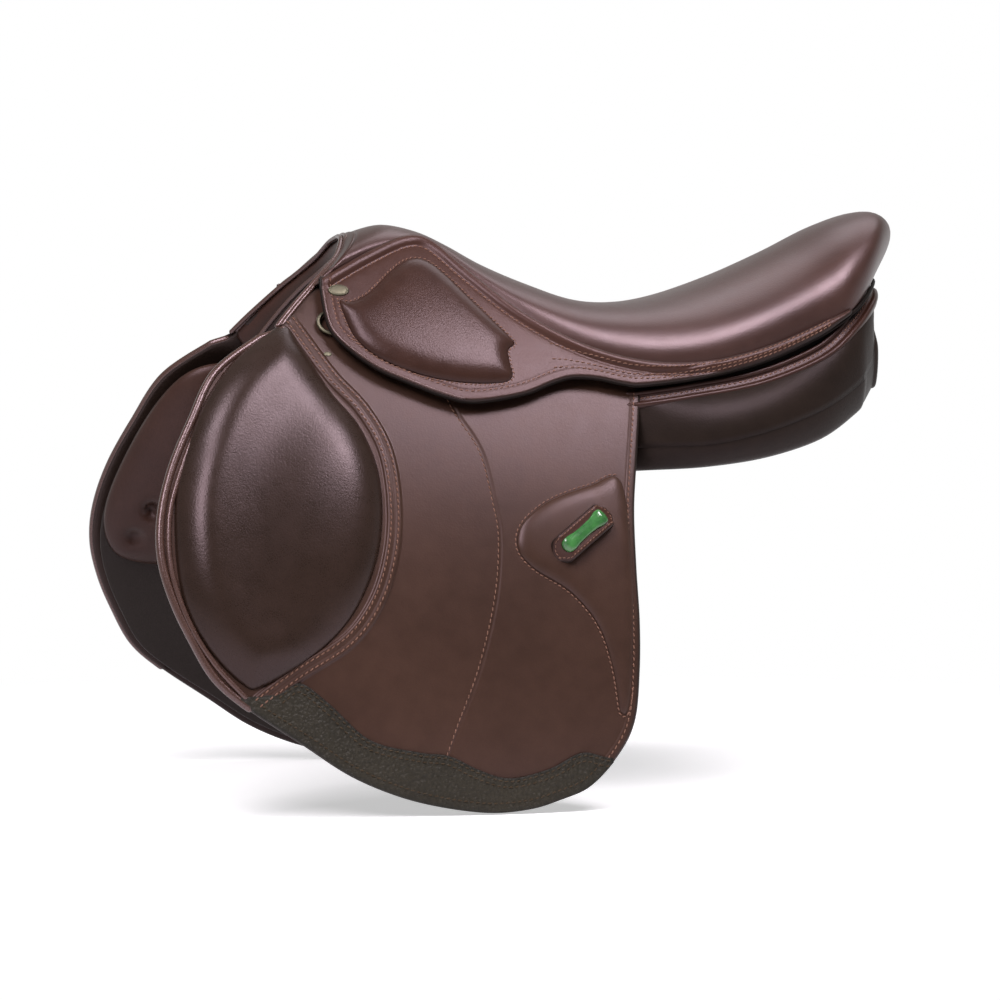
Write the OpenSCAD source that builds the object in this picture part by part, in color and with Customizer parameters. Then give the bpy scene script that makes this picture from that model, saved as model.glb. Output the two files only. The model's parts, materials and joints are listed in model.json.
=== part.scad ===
// Jumping saddle: wooden tree, padded seat, hinged flaps and skirts, panels, girth straps.
// X runs forward to the pommel, Y to the horse's left, Z up. The origin lies on the spine line.

/* [Overall] */
// Half of the width over the flaps
half_width = 205; // [190:1:225]
// Radius of the sides, seen from the front
side_r = 566; // [520:2:640]
// Depth of the widest level below the spine line
wide_drop = 267; // [240:1:290]

/* [Seat] */
// Front edge of the pommel, ahead of the origin
seat_front = 113; // [105:1:121]
// Length over the seat, pommel to cantle
seat_span = 415; // [395:1:435]
// Height of the seat's lowest point above the spine line
dip_height = 87; // [82:1:94]
// Rise of the cantle above the lowest point
cantle_rise = 70; // [60:1:80]
// Thickness of the seat leather
cover_t = 3; // [2:0.5:4]
// Thickness of the seat foam in the middle
foam_t = 17; // [12:1:22]
// Thickness of the seat foam at its edge
foam_edge_t = 3; // [2:0.5:5]
// Thickness of the seat foam at its ends
foam_end_t = 5; // [4:0.5:7]

/* [Flap] */
// Front edge of the flap, ahead of the origin
flap_front = 280; // [270:1:290]
// Length of the flap, front to rear
flap_width = 334; // [324:1:344]
// Height of the flap's top corner above the spine line
flap_top = 97; // [92:1:102]
// Height of the flap, top corner to toe
flap_height = 365; // [345:1:385]
// Thickness of the flap
flap_t = 5; // [4:0.5:6]
// Rise of the knee pad
knee_rise = 14; // [8:1:18]
// Rise of the calf pad
calf_rise = 3; // [2:0.5:4]
// Thickness of the toe rim
rim_t = 1.4; // [1:0.2:2]
// Thickness of the sweat flap
sweat_t = 3; // [2:0.5:4]

/* [Skirt] */
// Room between flap and skirt
skirt_room = 6.5; // [6:0.5:8]
// Thickness of the skirt
skirt_t = 4; // [3:0.5:5]
// Rise of the skirt's padding
skirt_rise = 6; // [4:0.5:8]

/* [Panel] */
// Half of the width over the panels
panel_half = 147; // [140:1:152]
// Height unit of the panels
panel_lift = 80; // [76:1:84]
// Thickness of the front lobe
lobe_rise = 20; // [12:1:26]

/* [Tree] */
// Thickness of the rails
rail_t = 13.6; // [10:0.2:15]
// Thickness of the head
head_t = 10; // [8:1:11]
// Depth of the head, front to rear
head_depth = 34; // [26:1:40]
// Thickness of the steel head plate
plate_t = 3; // [2:0.5:4]
// Radius of the head plate's rivets
head_rivet_r = 3.5; // [2.5:0.5:4.5]

/* [Stirrup bar] */
// Length of the bar from leg to pivot
bar_len = 64; // [58:1:68]
// Width of the bar
bar_w = 12; // [10:1:14]
// Thickness of the bar
bar_t = 5; // [4:0.5:5.5]
// Room behind the bar
bar_room = 7.8; // [7:0.2:8]
// Length of the leg
leg_len = 12; // [10:1:16]
// Width of the riveted foot
foot_w = 18; // [16:1:20]
// Thickness of the riveted foot
foot_t = 2.8; // [2:0.2:4]
// Radius of the bar's rivets
bar_rivet_r = 3; // [2:0.5:4]
// Radius of the catch's pin
pin_r = 2; // [1.5:0.1:2.5]
// Length of the catch
catch_len = 16; // [12:1:20]

/* [Girth] */
// Width of a girth strap
strap_w = 25; // [22:1:28]
// Thickness of a girth strap
strap_t = 4; // [3:0.5:4.5]
// Length of a girth strap
strap_len = 190; // [160:1:205]
// Length of the strap's pointed end
strap_tip = 10; // [6:1:14]
// Radius of the buckle holes
hole_r = 2.6; // [2:0.1:3]
// Distance between the buckle holes
hole_pitch = 25; // [20:1:27]
// Number of buckle holes
hole_count = 6; // [4:1:7]
// Distance of the first buckle hole from the strap's end
hole_start = 30; // [25:1:40]
// Thickness of the webs
web_t = 1.6; // [1:0.2:2]

/* [Fittings] */
// Length of the keeper
keeper_len = 54; // [46:1:60]
// Width of the keeper
keeper_w = 17; // [14:1:20]
// Room under the keeper, above the flap
keeper_room = 9.4; // [8.4:0.2:11]
// Thickness of the keeper
keeper_t = 2.5; // [2:0.5:3]
// Thickness of the enamel plate
enamel_t = 1.2; // [0.8:0.2:2]
// Width of the dee ring
dee_w = 18; // [14:1:20]
// Wire radius of the dee ring
wire_r = 1.5; // [1.2:0.1:1.6]
// Radius of the saddle nail's head
nail_r = 5; // [4:0.5:6]

/* [Hidden] */
$fn = 48;

// Clearances
lay = 0.4;
slip = 0.12;
panel_gap = 0.6;
foam_gap = 1.2;
over = 1;
fold_gap = 0.5;
strap_room = 2.6;
welt_room = 3.4;
welt_r = 1.1;
far = 900;
reach = half_width * 3 / 2;
side_fn = 480;

// Layers of the sides, as radii about one axis
axis_y = half_width - side_r;
axis_z = -wide_drop;
flap_in = side_r - flap_t;
web_out = flap_in - lay;
web_in = web_out - web_t;
rail_out = web_in - lay;
rail_in = rail_out - rail_t;
strap_in = rail_out - strap_t;
sweat_out = strap_in - strap_room;
sweat_in = sweat_out - sweat_t;
lobe_out = sweat_in - lay;
panel_out = rail_in - panel_gap;
skirt_in = side_r + skirt_room;
skirt_out = skirt_in + skirt_t;
seat_r = skirt_in + skirt_t / 2;
hinge_lift = 2;
flap_hinge_r = side_r + flap_t;
skirt_hinge_r = skirt_out + skirt_rise + hinge_lift;

// Places of the fittings, as shares of the flap or the seat
flap_fold_shares = [[0.24, 0.09], [1, 0.43]];
skirt_fold_shares = [[-0.1, -0.1], [0.31, -0.9]];
bar_share = [0.07, -0.3];
strap_shares = [0.575, 0.75];
strap_top_share = 0.228;
keeper_share = [0.893, 0.485];
keeper_turn = 27;
nail_share = [-0.065, -0.04];
stud_share = [-0.093, -0.59];

// Outlines on the flap: share of its length from the front, share of its height from the top
flap_edge_shares = [[0.24, 0.096], [0.14, 0.173], [0.08, 0.266], [0.03, 0.36], [0.003, 0.447],
    [0, 0.523], [0.02, 0.597], [0.054, 0.668], [0.1, 0.742], [0.168, 0.797], [0.28, 0.866],
    [0.373, 0.923], [0.467, 0.962], [0.56, 0.986], [0.665, 1], [0.75, 0.995], [0.81, 0.98],
    [0.877, 0.955], [0.94, 0.896], [0.976, 0.833], [0.99, 0.74], [0.996, 0.645], [0.997, 0.55],
    [1.003, 0.447], [1.018, 0.362], [1.05, 0.22]];
knee_shares = [[0.3, 0.085], [0.33, 0.125], [0.38, 0.21], [0.434, 0.277], [0.464, 0.36], [0.464, 0.455],
    [0.44, 0.545], [0.383, 0.638], [0.296, 0.71], [0.2, 0.757], [0.16, 0.755], [0.09, 0.688], [0.044, 0.6],
    [0.032, 0.49], [0.045, 0.38], [0.093, 0.266], [0.156, 0.18], [0.225, 0.123]];
calf_shares = [[0.985, 0.4], [0.91, 0.406], [0.82, 0.427], [0.765, 0.47], [0.755, 0.51], [0.785, 0.545],
    [0.85, 0.592], [0.905, 0.655], [0.932, 0.737], [0.945, 0.82], [0.965, 0.8], [0.98, 0.68], [0.988, 0.53]];
rim_shares = [[0.23, 0.77], [0.275, 0.75], [0.335, 0.79], [0.416, 0.857], [0.518, 0.882], [0.58, 0.89],
    [0.644, 0.918], [0.707, 0.934], [0.79, 0.918], [0.857, 0.89], [0.916, 0.9], [1.03, 0.92]];
rim_end_shares = [[1.03, 1.05], [0.1, 1.05]];
lobe_shares = [[0.4, 0.17], [0.27, 0.16], [0.17, 0.21], [0.1, 0.31], [0.055, 0.42], [0.055, 0.5],
    [0.1, 0.56], [0.19, 0.57], [0.3, 0.53], [0.38, 0.44], [0.41, 0.29]];
block_shares = [[0.22, 0.18], [0.13, 0.31], [0.08, 0.43], [0.07, 0.53], [0.12, 0.62], [0.19, 0.7],
    [0.28, 0.68], [0.37, 0.58], [0.42, 0.46], [0.41, 0.35], [0.36, 0.24]];
sweat_top_shares = [[0.985, 0.31], [0.84, 0.245], [0.75, 0.235], [0.49, 0.235], [0.39, 0.2], [0.29, 0.13]];
sweat_inset_share = 0.97;
sweat_focus_share = [0.5, 0.5];

// Outlines on the seat: share of its span from the front, share of the cantle's rise above the dip
ridge_shares = [[0, 0.71], [0.05, 0.785], [0.108, 0.715], [0.16, 0.56], [0.22, 0.37], [0.296, 0.19],
    [0.383, 0.03], [0.477, 0.005], [0.573, 0.09], [0.677, 0.29], [0.778, 0.56], [0.875, 0.86],
    [0.95, 0.99], [1, 0.8], [0.98, 0.39]];
edge_shares = [[-0.092, 0.143, 1], [-0.01, 0.4, 1], [0.067, 0.586, 1], [0.118, 0.54, 1], [0.178, 0.2, 1],
    [0.253, -0.186, 1], [0.35, -0.507, 1], [0.453, -0.65, 1], [0.56, -0.657, 1], [0.672, -0.55, 1],
    [0.788, -0.37, 1], [0.85, -0.21, 1], [0.9, 0.11, 1], [0.95, 0.27, 0.5], [0.973, 0.31, 0.16]];
skirt_shares = [[-0.094, 0.1], [-0.094, -0.23], [-0.086, -0.45], [-0.055, -0.65], [-0.017, -0.81],
    [0.024, -0.92], [0.09, -1.07], [0.142, -1.13], [0.227, -1.06], [0.285, -0.94], [0.32, -0.89],
    [0.364, -0.9], [0.407, -0.935], [0.443, -0.945], [0.55, -0.885], [0.665, -0.74], [0.783, -0.51],
    [0.857, -0.28]];
skirt_pad_shares = [[-0.067, -0.13], [-0.05, -0.155], [-0.014, -0.06], [0.024, 0.13], [0.055, 0.26],
    [0.08, 0.3], [0.1, 0.27], [0.123, 0.16], [0.166, -0.13], [0.22, -0.49], [0.228, -0.57], [0.214, -0.63],
    [0.214, -0.77], [0.215, -0.89], [0.195, -0.955], [0.127, -0.955], [0.06, -0.885], [-0.007, -0.73],
    [-0.045, -0.545], [-0.06, -0.34]];
flap_head_shares = [[0.43, -0.77], [0.345, -0.64], [0.25, -0.33], [0.173, 0.06], [0.113, 0.4],
    [0.068, 0.44], [-0.01, 0.26], [-0.092, 0.11]];
rail_top_shares = [[0.02, 0.3], [0.067, 0.42], [0.113, 0.36], [0.173, 0.03], [0.25, -0.35],
    [0.345, -0.67], [0.453, -0.8], [0.56, -0.815], [0.672, -0.715], [0.79, -0.52]];
rail_low_shares = [[0.8, -0.72], [0.672, -0.95], [0.56, -1.05], [0.453, -1.07], [0.345, -1.02],
    [0.25, -0.96], [0.02, -0.96]];
facing_shares = [[0.454, -1.04, 1], [0.53, -0.97, 1], [0.66, -0.83, 1], [0.78, -0.6, 1],
    [0.86, -0.27, 1], [0.915, 0.02, 0.93], [0.95, 0.14, 0.52], [0.966, 0.18, 0.24]];
facing_front_shares = [[-0.12, 0.02], [-0.16, -0.1], [-0.19, -0.2]];
facing_r = 5.5;
facing_lead = 7.5;
roll_r = 4;
roll_seat = 2;

// Panel stations: span share, then shares of panel width and height, inner edge to bottom
panel_shares = [
    [-0.05, 0.37, 0.63, 0.38, 0.7, 0.13, -0.1, 0.3],
    [0.03, 0.31, 0.7, 0.35, 0.755, 0.03, -0.28, 0.33],
    [0.13, 0.27, 0.63, 0.25, 0.79, -0.08, -0.38, 0.23],
    [0.27, 0.23, 0.5, 0.1, 0.82, -0.18, -0.45, 0.08],
    [0.38, 0.21, 0.43, 0.08, 0.83, -0.23, -0.46, 0.03],
    [0.465, 0.2, 0.4, 0.15, 0.95, -0.2, -0.44, 0.03],
    [0.56, 0.2, 0.4, 0.16, 1, -0.18, -0.41, 0.05],
    [0.67, 0.19, 0.5, 0.245, 0.945, -0.05, -0.31, 0.15],
    [0.78, 0.18, 0.68, 0.39, 0.8, 0.15, -0.1, 0.33],
    [0.86, 0.18, 0.88, 0.73, 0.63, 0.43, 0.23, 0.55],
    [0.907, 0.18, 1, 0.93, 0.5, 0.75, 0.55, 0.73],
    [0.932, 0.24, 0.95, 0.93, 0.4, 0.85, 0.75, 0.8]];
// Rounding of the panel's section between its stations' heights
round_share = 0.97;
sole_share = 0.88;
half_share = 0.5;
step_share = 0.4;
turn_share = 0.3;
bulge_share = 0.8;
crest_share = 0.05;
inner_share = 0.04;
lining_share = 0.035;
lining_t = 2;

// Head stations: span share, rise share and share of the sides' width, from the point to the middle
head_shares = [[-0.06, -0.67, 1], [-0.046, -0.36, 1], [-0.012, 0.07, 0.97], [0.027, 0.35, 0.79], [0.041, 0.45, 0]];
rivet_head_share = 1.8;
crown_shares = [[1, 0.12], [0.965, 0.5], [0.87, 0.8], [0.68, 0.95], [0.4, 1]];
cantle_focus_share = [0.79, -0.67];
board_share = 0.2;
board_edge_share = 0.06;
board_t_share = 0.13;
board_turn_share = 1.12;
board_count = 9;

function mix(a, b, t) = a + (b - a) * t;
function unit(v) = v / norm(v);
function mean(p) = [for (i = [0 : len(p)]) 1] * concat(p, [0 * p[0]]) / len(p);
function flap_pt(s) = [flap_front - s[0] * flap_width, flap_top - s[1] * flap_height];
function seat_pt(s) = [seat_front - s[0] * seat_span, dip_height + s[1] * cantle_rise];
function side_y(z, r) = axis_y + sqrt(r * r - (z - axis_z) * (z - axis_z));
function tilt(z) = asin((z - axis_z) / side_r);
function on_side(p, r) = [p[0], axis_y + r * cos(tilt(p[1])), axis_z + r * sin(tilt(p[1]))];

// Smooth curves through a list of points, open or closed
function bend(a, b, c, d, t) = (2 * b + (c - a) * t + (2 * a - 5 * b + 4 * c - d) * t * t
    + (3 * b - 3 * c + d - a) * t * t * t) / 2;
function curve(p, n) = [for (i = [0 : len(p) - 2], k = [0 : n - (i == len(p) - 2 ? 0 : 1)])
    bend(p[max(i - 1, 0)], p[i], p[i + 1], p[min(i + 2, len(p) - 1)], k / n)];
function loop(p, n) = let (m = len(p)) [for (i = [0 : m - 1], k = [0 : n - 1])
    bend(p[(i + m - 1) % m], p[i], p[(i + 1) % m], p[(i + 2) % m], k / n)];
function flip(p) = [for (i = [len(p) - 1 : -1 : 0]) p[i]];

// Closed solid through a list of rings
function ring_way(r) = let (c = mean(r[0]), m = len(r[0]))
    [for (j = [0 : m]) 1] * concat([for (j = [0 : m - 1]) cross(r[0][j] - c, r[0][(j + 1) % m] - c)],
    [0 * c]) * (mean(r[1]) - c);
module skin(rings) {
    r = ring_way(rings) > 0 ? rings : [for (g = rings) flip(g)];
    m = len(r);
    n = len(r[0]);
    points = concat([for (g = r) each g], [mean(r[0]), mean(r[m - 1])]);
    sides = [for (i = [0 : m - 2], j = [0 : n - 1]) let (k = (j + 1) % n)
        each [[i * n + j, i * n + n + j, i * n + n + k], [i * n + j, i * n + n + k, i * n + k]]];
    caps = [for (j = [0 : n - 1]) let (k = (j + 1) % n)
        each [[j, k, m * n], [(m - 1) * n + k, (m - 1) * n + j, m * n + 1]]];
    polyhedron(points, concat(sides, caps));
}

// Closed solid between an upper and a lower grid
function quad(a, b, c, d) = [[a, b, c], [a, c, d]];
module sheet(top, low) {
    m = len(top);
    n = len(top[0]);
    h = m * n;
    faces = concat(
        [for (i = [0 : m - 2], j = [0 : n - 2]) let (a = i * n + j)
            each concat(quad(a, a + n, a + n + 1, a + 1), quad(h + a, h + a + 1, h + a + n + 1, h + a + n))],
        [for (i = [0 : m - 2]) let (a = i * n, b = a + n - 1)
            each concat(quad(a + n, a, h + a, h + a + n), quad(b, b + n, h + b + n, h + b))],
        [for (j = [0 : n - 2]) let (b = (m - 1) * n + j)
            each concat(quad(j, j + 1, h + j + 1, h + j), quad(b + 1, b, h + b, h + b + 1))]);
    polyhedron(concat([for (g = top) each g], [for (g = low) each g]), faces);
}

// Round roll along a path
module roll(path, r, sides) {
    m = len(path) - 1;
    skin([for (i = [0 : m]) let (t = unit(path[min(i + 1, m)] - path[max(i - 1, 0)]),
        s = unit(cross(t, [0, 0, 1])), u = cross(s, t))
        [for (k = [0 : sides - 1]) path[i] + r * (cos(360 * k / sides) * s + sin(360 * k / sides) * u)]]);
}

// Layer of the left side between two radii, cut to an outline seen from the side
module side_cut(points) translate([0, reach, 0]) rotate([90, 0, 0]) linear_extrude(reach) polygon(points);
module side_rod(r) translate([-far / 2, axis_y, axis_z]) rotate([0, 90, 0])
    cylinder(r = r, h = far, $fn = side_fn);
module side_sheet(points, r_in, r_out) {
    difference() {
        intersection() {
            side_rod(r_out);
            side_cut(points);
        }
        side_rod(r_in);
    }
}

// All that lies below (way 1) or above (way -1) a fold of the left side, cut square to the side
module beyond(fold, r, way) {
    a = on_side(fold[0], r);
    b = on_side(fold[1], r);
    d = unit(a - b);
    out = on_side((fold[0] + fold[1]) / 2, r) - on_side((fold[0] + fold[1]) / 2, side_r);
    n = unit(out - d * (d * out));
    t = cross(n, d) * way;
    c = (a + b + t * fold_gap) / 2;
    multmatrix([for (i = [0 : 2]) [way * d[i], t[i], n[i], c[i]]])
        translate([-far / 2, 0, -far / 2]) cube(far);
}

// Crowned pad on the left side, rising outward (way 1) or inward (way -1) from a radius
module crown(points, r, rise, way) {
    c = mean(points);
    skin(concat([[for (p = points) on_side(p, r - way * over)]],
        [for (s = crown_shares) [for (p = points) on_side(mix(c, p, s[0]), r + way * rise * s[1])]]));
}

// Places children on the left side: X to the rear, Y up along the surface, Z outward
module seat_on(p, r) translate(on_side(p, r)) rotate([90 - tilt(p[1]), 0, 180]) children();
module mirrored() mirror([0, 1, 0]) children();
module both() {
    children();
    mirrored() children();
}

// Seat surface: ribs from the ridge to the edge
ridge = curve([for (s = ridge_shares) let (p = seat_pt(s)) [p[0], 0, p[1]]], 2);
edge = curve([for (s = edge_shares) let (p = seat_pt(s)) [p[0], s[2] * side_y(p[1], seat_r), p[1]]], 2);
function rib(i, v) = let (a = sin(90 * v), b = 1 - cos(90 * v), c = ridge[i], e = edge[i])
    [mix(c[0], e[0], b), a * e[1], mix(c[2], e[2], b)];
// Point a distance below the seat's edge, square to it as seen from the side
function below_edge(i, d) = let (m = len(edge) - 1, t = edge[min(i + 1, m)] - edge[max(i - 1, 0)])
    edge[i] + d * [-t[2], 0, t[0]] / norm([t[0], t[2]]);
cols = 6;
rows = len(ridge);
seat = [for (i = [0 : rows - 1]) [for (j = [-cols : cols]) rib(i, j / cols)]];
function normal(g, i, j) = let (m = len(g) - 1, n = len(g[0]) - 1)
    unit(cross(g[i][min(j + 1, n)] - g[i][max(j - 1, 0)], g[min(i + 1, m)][j] - g[max(i - 1, 0)][j]));
function sunk(g, d) = [for (i = [0 : len(g) - 1]) [for (j = [0 : len(g[0]) - 1])
    g[i][j] - d * normal(g, i, j)]];
function part(g, i0, i1, j0, j1) = [for (i = [i0 : i1]) [for (j = [j0 : j1]) g[i][j]]];
function lower(g, d) = [for (r = g) [for (p = r) p - [0, 0, d]]];
foam_last = rows - 5;
foam_top = part(sunk(seat, cover_t + foam_gap), 1, foam_last, 1, 2 * cols - 1);
foam_low = [for (i = [0 : foam_last - 1]) [for (j = [0 : 2 * cols - 2])
    let (v = (j + 1 - cols) / (cols - 1), t = mix(foam_t, foam_end_t, abs(2 * i / (foam_last - 1) - 1)))
    foam_top[i][j] - [0, 0, mix(t, foam_edge_t, v * v)]]];
web_count = 2;

// Outlines in the plane of the sides
flap_edge = curve([for (s = flap_edge_shares) flap_pt(s)], 2);
flap_outline = concat(flap_edge, [for (s = flap_head_shares) seat_pt(s)]);
flap_fold = [for (s = flap_fold_shares) flap_pt(s)];
skirt_low = curve([for (s = skirt_shares) seat_pt(s)], 2);
skirt_tip = skirt_low[len(skirt_low) - 1][0];
skirt_outline = concat(skirt_low, [for (i = [rows - 1 : -1 : 0]) let (e = below_edge(i, welt_room))
    if (e[0] > skirt_tip) [e[0], e[2]]]);
skirt_fold = [for (s = skirt_fold_shares) seat_pt(s)];
skirt_pad_outline = [for (s = skirt_pad_shares) seat_pt(s)];
knee_outline = loop([for (s = knee_shares) flap_pt(s)], 2);
calf_outline = loop([for (s = calf_shares) flap_pt(s)], 2);
rim_outline = concat(curve([for (s = rim_shares) flap_pt(s)], 2), [for (s = rim_end_shares) flap_pt(s)]);
sweat_outline = concat([for (s = flap_edge_shares) if (s[1] > sweat_top_shares[5][1]
    && s[1] > sweat_top_shares[0][1] * (s[0] > 1 ? 1 : 0))
    flap_pt(mix(sweat_focus_share, s, sweat_inset_share))], [for (s = sweat_top_shares) flap_pt(s)]);
rail_outline = concat(curve([for (s = rail_top_shares) seat_pt(s)], 2),
    [for (s = rail_low_shares) seat_pt(s)]);

// Tree
function head_pt(s) = let (p = seat_pt(s)) [p[0], s[2] * side_y(p[1], (rail_in + rail_out) / 2), p[1]];
head_half = [for (s = head_shares) head_pt(s)];
head_path = concat(head_half, [for (i = [len(head_half) - 2 : -1 : 0])
    [head_half[i][0], -head_half[i][1], head_half[i][2]]]);
function head_out(i) = let (m = len(head_path) - 1,
    t = head_path[max(i - 1, 0)] - head_path[min(i + 1, m)]) unit([0, -t[2], t[1]]);
module arch(depth, d0, d1) {
    skin([for (i = [0 : len(head_path) - 1]) let (p = head_path[i], n = head_out(i), x = [depth / 2, 0, 0])
        [p + x + n * d0, p - x + n * d0, p - x + n * d1, p + x + n * d1]]);
}
module tree_head() color("burlywood") arch(head_depth, -head_t / 2, head_t / 2);
module head_plate() color("silver") arch(head_depth * 2 / 3, -head_t / 2 - lay - plate_t, -head_t / 2 - lay);
module head_rivets() color("dimgray") {
    for (i = [1, len(head_half) - 1, len(head_path) - 2]) {
        n = head_out(i);
        translate(head_path[i] - n * (head_t / 2 + lay + 2 * plate_t))
            rotate([0, acos(n[2]), atan2(n[1], n[0])])
                cylinder(r = head_rivet_r, h = plate_t * 2 + lay + head_t / 2);
    }
}
bar_pt = seat_pt(bar_share);
module bar_frame() seat_on(bar_pt, rail_out) children();
foot_y = bar_w / 2 + over;
rivet_x = [-bar_len / 5, bar_len / 4];
module bar_rivet_set(r) {
    for (x = rivet_x) translate([x, foot_y + foot_w / 2, -rail_t - over])
        cylinder(r = r, h = rail_t + foot_t + 2 * over);
}
module tree_rail() color("burlywood") difference() {
    side_sheet(rail_outline, rail_in, rail_out);
    bar_frame() bar_rivet_set(bar_rivet_r + slip);
}
function board(k) = let (f = seat_pt(cantle_focus_share)) [for (i = [rows - board_count : rows - 1])
    [for (j = [-cols : cols]) let (v = board_turn_share * j / cols, p = rib(i, v), w = j / cols)
    mix(p, [f[0], 0, f[1]], board_share - board_edge_share * w * w + k)]];
module tree_cantle() color("burlywood") sheet(board(0), board(board_t_share));
module bar_rivets() color("dimgray") both() bar_frame() {
    for (x = rivet_x) translate([x, foot_y + foot_w / 2, 0]) {
        translate([0, 0, -rail_t]) cylinder(r = bar_rivet_r, h = rail_t + foot_t + over);
        translate([0, 0, foot_t + 2 * lay]) cylinder(r = rivet_head_share * bar_rivet_r, h = over);
    }
}

// Stirrup bar, joined to its foot at the front and open at the rear, with a hinged catch
pivot_x = bar_len / 2;
bar_top = bar_room + bar_t;
tongue_t = bar_t / 2 - lay;
catch_t = bar_t - tongue_t - lay;
module stirrup_bar() color("silver") bar_frame() difference() {
    union() {
        translate([-bar_len / 2, foot_y, lay]) cube([bar_len, foot_w, foot_t]);
        translate([-bar_len / 2, -bar_w / 2, lay])
            cube([leg_len, bar_w / 2 + foot_y + foot_w, bar_top - lay]);
        translate([-bar_len / 2, -bar_w / 2, bar_room]) cube([bar_len, bar_w, bar_t]);
        translate([pivot_x, 0, bar_room]) cylinder(r = bar_w / 2, h = bar_t);
    }
    translate([pivot_x - bar_w / 2 - over, -bar_w, bar_room + tongue_t])
        cube([2 * bar_w, 2 * bar_w, bar_t]);
    translate([pivot_x, 0, bar_room - over]) cylinder(r = pin_r + slip, h = bar_t + 2 * over);
    bar_rivet_set(bar_rivet_r + slip);
}
module safety_catch() color("silver") bar_frame() translate([pivot_x, 0, bar_top - catch_t]) difference() {
    union() {
        cylinder(r = bar_w / 2 - over, h = catch_t);
        translate([0, -bar_w / 3, 0]) cube([catch_len, bar_w * 2 / 3, catch_t]);
    }
    translate([0, 0, -over]) cylinder(r = pin_r + slip / 2, h = bar_t + 2 * over);
}
module catch_pins() color("dimgray") both() bar_frame() translate([pivot_x, 0, bar_room])
    cylinder(r = pin_r, h = bar_t);

// Seat
web_strip = part(foam_low, 1, foam_last - 5, cols - 1 - web_count, cols - 1 + web_count);
module seat_web() color("khaki") sheet(lower(web_strip, lay), lower(web_strip, lay + web_t));
module seat_foam() color("beige") sheet(foam_top, foam_low);
module seat_cover() color("saddlebrown") sheet(seat, sunk(seat, cover_t));
welt_path = [for (i = [0 : rows - 1]) below_edge(i, welt_room - welt_r - lay / 2)];
module seat_welt() color("black") {
    roll(concat(welt_path, [for (e = flip(welt_path)) [e[0], -e[1], e[2]]]), welt_r, 6);
}

// Skirts
module skirt_top() color("sienna") intersection() {
    union() {
        side_sheet(skirt_outline, skirt_in, skirt_out);
        crown(skirt_pad_outline, skirt_out, skirt_rise, 1);
    }
    beyond(skirt_fold, skirt_hinge_r, -1);
}
module skirt() color("sienna") intersection() {
    side_sheet(skirt_outline, skirt_in, skirt_out);
    beyond(skirt_fold, skirt_hinge_r, 1);
}
module skirt_pad() color("peru") difference() {
    intersection() {
        crown(skirt_pad_outline, skirt_out, skirt_rise, 1);
        beyond(skirt_fold, skirt_hinge_r, 1);
    }
    side_rod(skirt_out + lay);
}

// Flaps
window_w = bar_len + bar_w;
module flap_top() color("saddlebrown") difference() {
    intersection() {
        side_sheet(flap_outline, flap_in, side_r);
        beyond(flap_fold, flap_hinge_r, -1);
    }
    bar_frame() translate([-window_w / 2, -2 * bar_w, -far / 2])
        cube([window_w, foot_w + foot_y + 2 * bar_w + 2 * over, far]);
}
module flap() color("saddlebrown") intersection() {
    side_sheet(flap_outline, flap_in, side_r);
    beyond(flap_fold, flap_hinge_r, 1);
}
module knee_pad() color("peru") difference() {
    intersection() {
        crown(knee_outline, side_r, knee_rise, 1);
        beyond(flap_fold, flap_hinge_r, 1);
    }
    side_rod(side_r + lay);
}
module keeper_frame() seat_on(flap_pt(keeper_share), side_r) rotate([0, 0, keeper_turn]) children();
keeper_leg = keeper_len / 5;
keeper_shares = [[-0.5, 0], [-0.38, 0.5], [0.38, 0.5], [0.5, 0], [0.38, -0.5], [-0.38, -0.5]];
module keeper_shape(grow) linear_extrude(far, center = true)
    polygon([for (k = keeper_shares) [k[0] * (keeper_len + 2 * grow), k[1] * (keeper_w + 2 * grow)]]);
module calf_pad() color("peru") difference() {
    intersection() {
        crown(calf_outline, side_r, calf_rise, 1);
        beyond(flap_fold, flap_hinge_r, 1);
    }
    side_rod(side_r + lay);
    keeper_frame() difference() {
        keeper_shape(lay);
        cube([keeper_len - 2 * keeper_leg - 2 * lay, far, far], center = true);
    }
}
module keeper() color("sienna") keeper_frame() intersection() {
    keeper_shape(0);
    difference() {
        translate([-keeper_len / 2, -keeper_w / 2, 2 * lay])
            cube([keeper_len, keeper_w, keeper_room + keeper_t - 2 * lay]);
        translate([keeper_leg - keeper_len / 2, -keeper_w, -over])
            cube([keeper_len - 2 * keeper_leg, 2 * keeper_w, keeper_room + over]);
    }
}
module keeper_plate() color("seagreen") keeper_frame() translate([0, 0, keeper_room + keeper_t + lay / 2]) {
    for (x = [-1, 1]) translate([x * keeper_len / 5, 0, 0]) cylinder(r = keeper_w / 3, h = enamel_t);
    translate([-keeper_len / 5, -keeper_w / 3, 0]) cube([keeper_len * 2 / 5, keeper_w * 2 / 3, enamel_t]);
}
module toe_rim() color("darkolivegreen") intersection() {
    side_sheet(flap_outline, side_r + lay, side_r + lay + rim_t);
    side_cut(rim_outline);
}

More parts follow.
